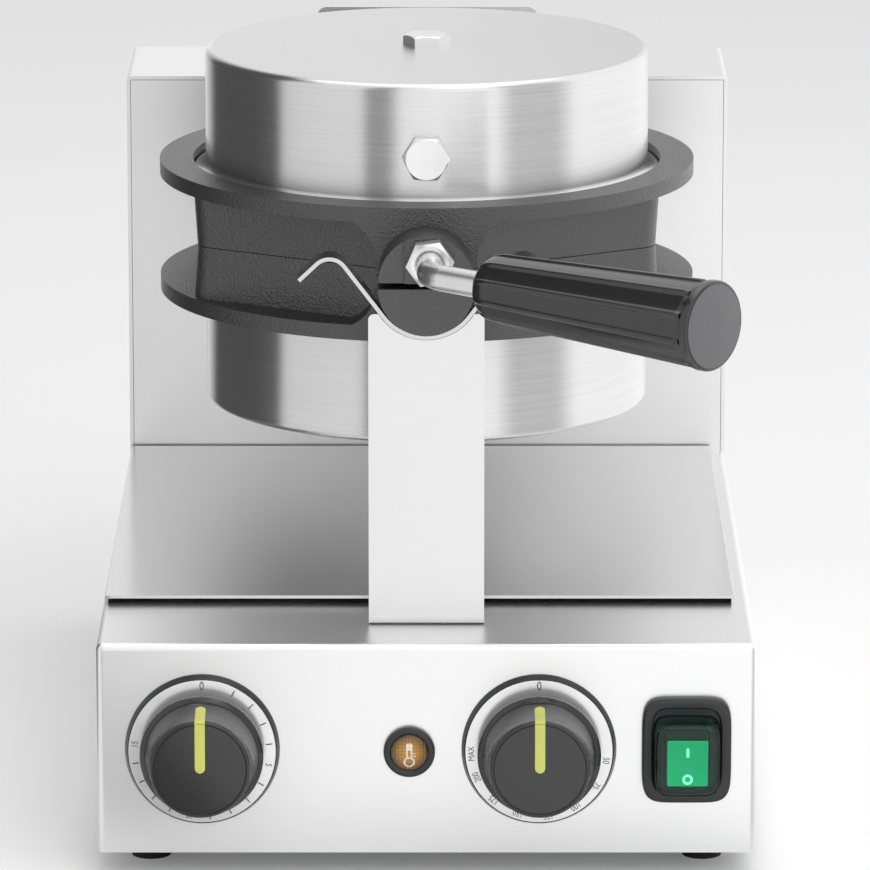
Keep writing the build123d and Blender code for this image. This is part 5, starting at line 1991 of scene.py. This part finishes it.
        def row(share: np.ndarray | float, drop: float) -> np.ndarray:
            """One row: the outline drawn in by a share, at a drop below the face."""
            flat = outline * share
            return np.column_stack([flat, self._crest(flat[:, 1]) - drop])

        skin, side = self.face_skin, 1 - self.body_inset / half
        spread = np.linspace(self.face_share, 0.0, self.face_rows)
        face = [row(0.0, skin), row(1.0, skin)]
        face += [row(1 - inset / half, drop) for inset, drop in self.key_edge]
        face += [row(share, 0.0) for share in spread]
        body = [row(0.0, self.rocker_depth), row(side, self.rocker_depth), row(side, skin)]
        body += [row(share, skin) for share in spread]
        for name, rows, finish in (("key", face, "green_rocker"), ("body", body, "rocker_dark")):
            patches, nodes = [Patch(self._tilted(np.stack(rows)))], ["switch_rocker"]
            self.maker.piece(f"rocker_{name}", patches, "switch", "green_rocker", nodes, finish=finish)

    def _marks(self) -> None:
        """The stroke and the ring on the rocker's face."""
        heights = (self.mark_root, self.mark_height)
        stroke = plate(bar(*self.stroke, self.stroke_place), *heights)
        ring = band(*self.ring, *heights, 40) + np.array([0.0, self.ring_place, 0.0])
        for name, grid in (("on_mark", stroke), ("off_mark", ring)):
            grid[..., 2] += self._crest(grid[..., 1])
            surface = Patch(self._tilted(grid), looped=grid is ring)
            self.maker.piece(name, [surface], "switch", "green_rocker", finish="mint_print")


def panel_seat(node: str, front_y: float) -> Seat:
    """The place on the front panel behind a node's middle, with the outward axis to the front."""
    low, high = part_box(node)
    return Seat(((low.x + high.x) / 2, front_y, (low.z + high.z) / 2), up=(0.0, 0.0, 1.0))


def main() -> None:
    """Build every class in order and report it."""
    logging.basicConfig(level=logging.INFO, format="%(name)s: %(message)s")
    front_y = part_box("base_shell")[0].y
    drum_low, drum_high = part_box("upper_drum")
    head_centre = ((drum_low.x + drum_high.x) / 2, (drum_low.y + drum_high.y) / 2)
    shelf = FinishShelf(head_centre, panel_seat("lamp_lens", front_y).origin)
    shelf.fill()
    log.info("finishes: %d", len(shelf.ready))
    Studio(front_y, head_centre).build()
    maker = Maker(shelf)
    joints = {joint["name"]: joint for joint in frame["record"]["behaviour"]["joints"]}
    seam = tuple(joints["head_flip"]["pos_m"])
    head = TurningHead(maker, seam)
    head.build()
    BubblePlates(maker, head).build()
    nut_low, nut_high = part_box("handle_nut")
    rod_height = (nut_low.z + nut_high.z) / 2
    Handle(maker, ((nut_low.x + nut_high.x) / 2, nut_high.y - ROD_REACH, rod_height), nut_high.y).build()
    for name, marks in (("timer", DialMarks.TIMER), ("thermostat", DialMarks.THERMOSTAT)):
        Dial(maker, name, marks, panel_seat(f"{name}_scale_ring", front_y)).build()
    IndicatorLamp(maker, panel_seat("lamp_bezel", front_y)).build()
    RockerSwitch(maker, panel_seat("switch_frame", front_y)).build()


if __name__ == "__main__":
    main()
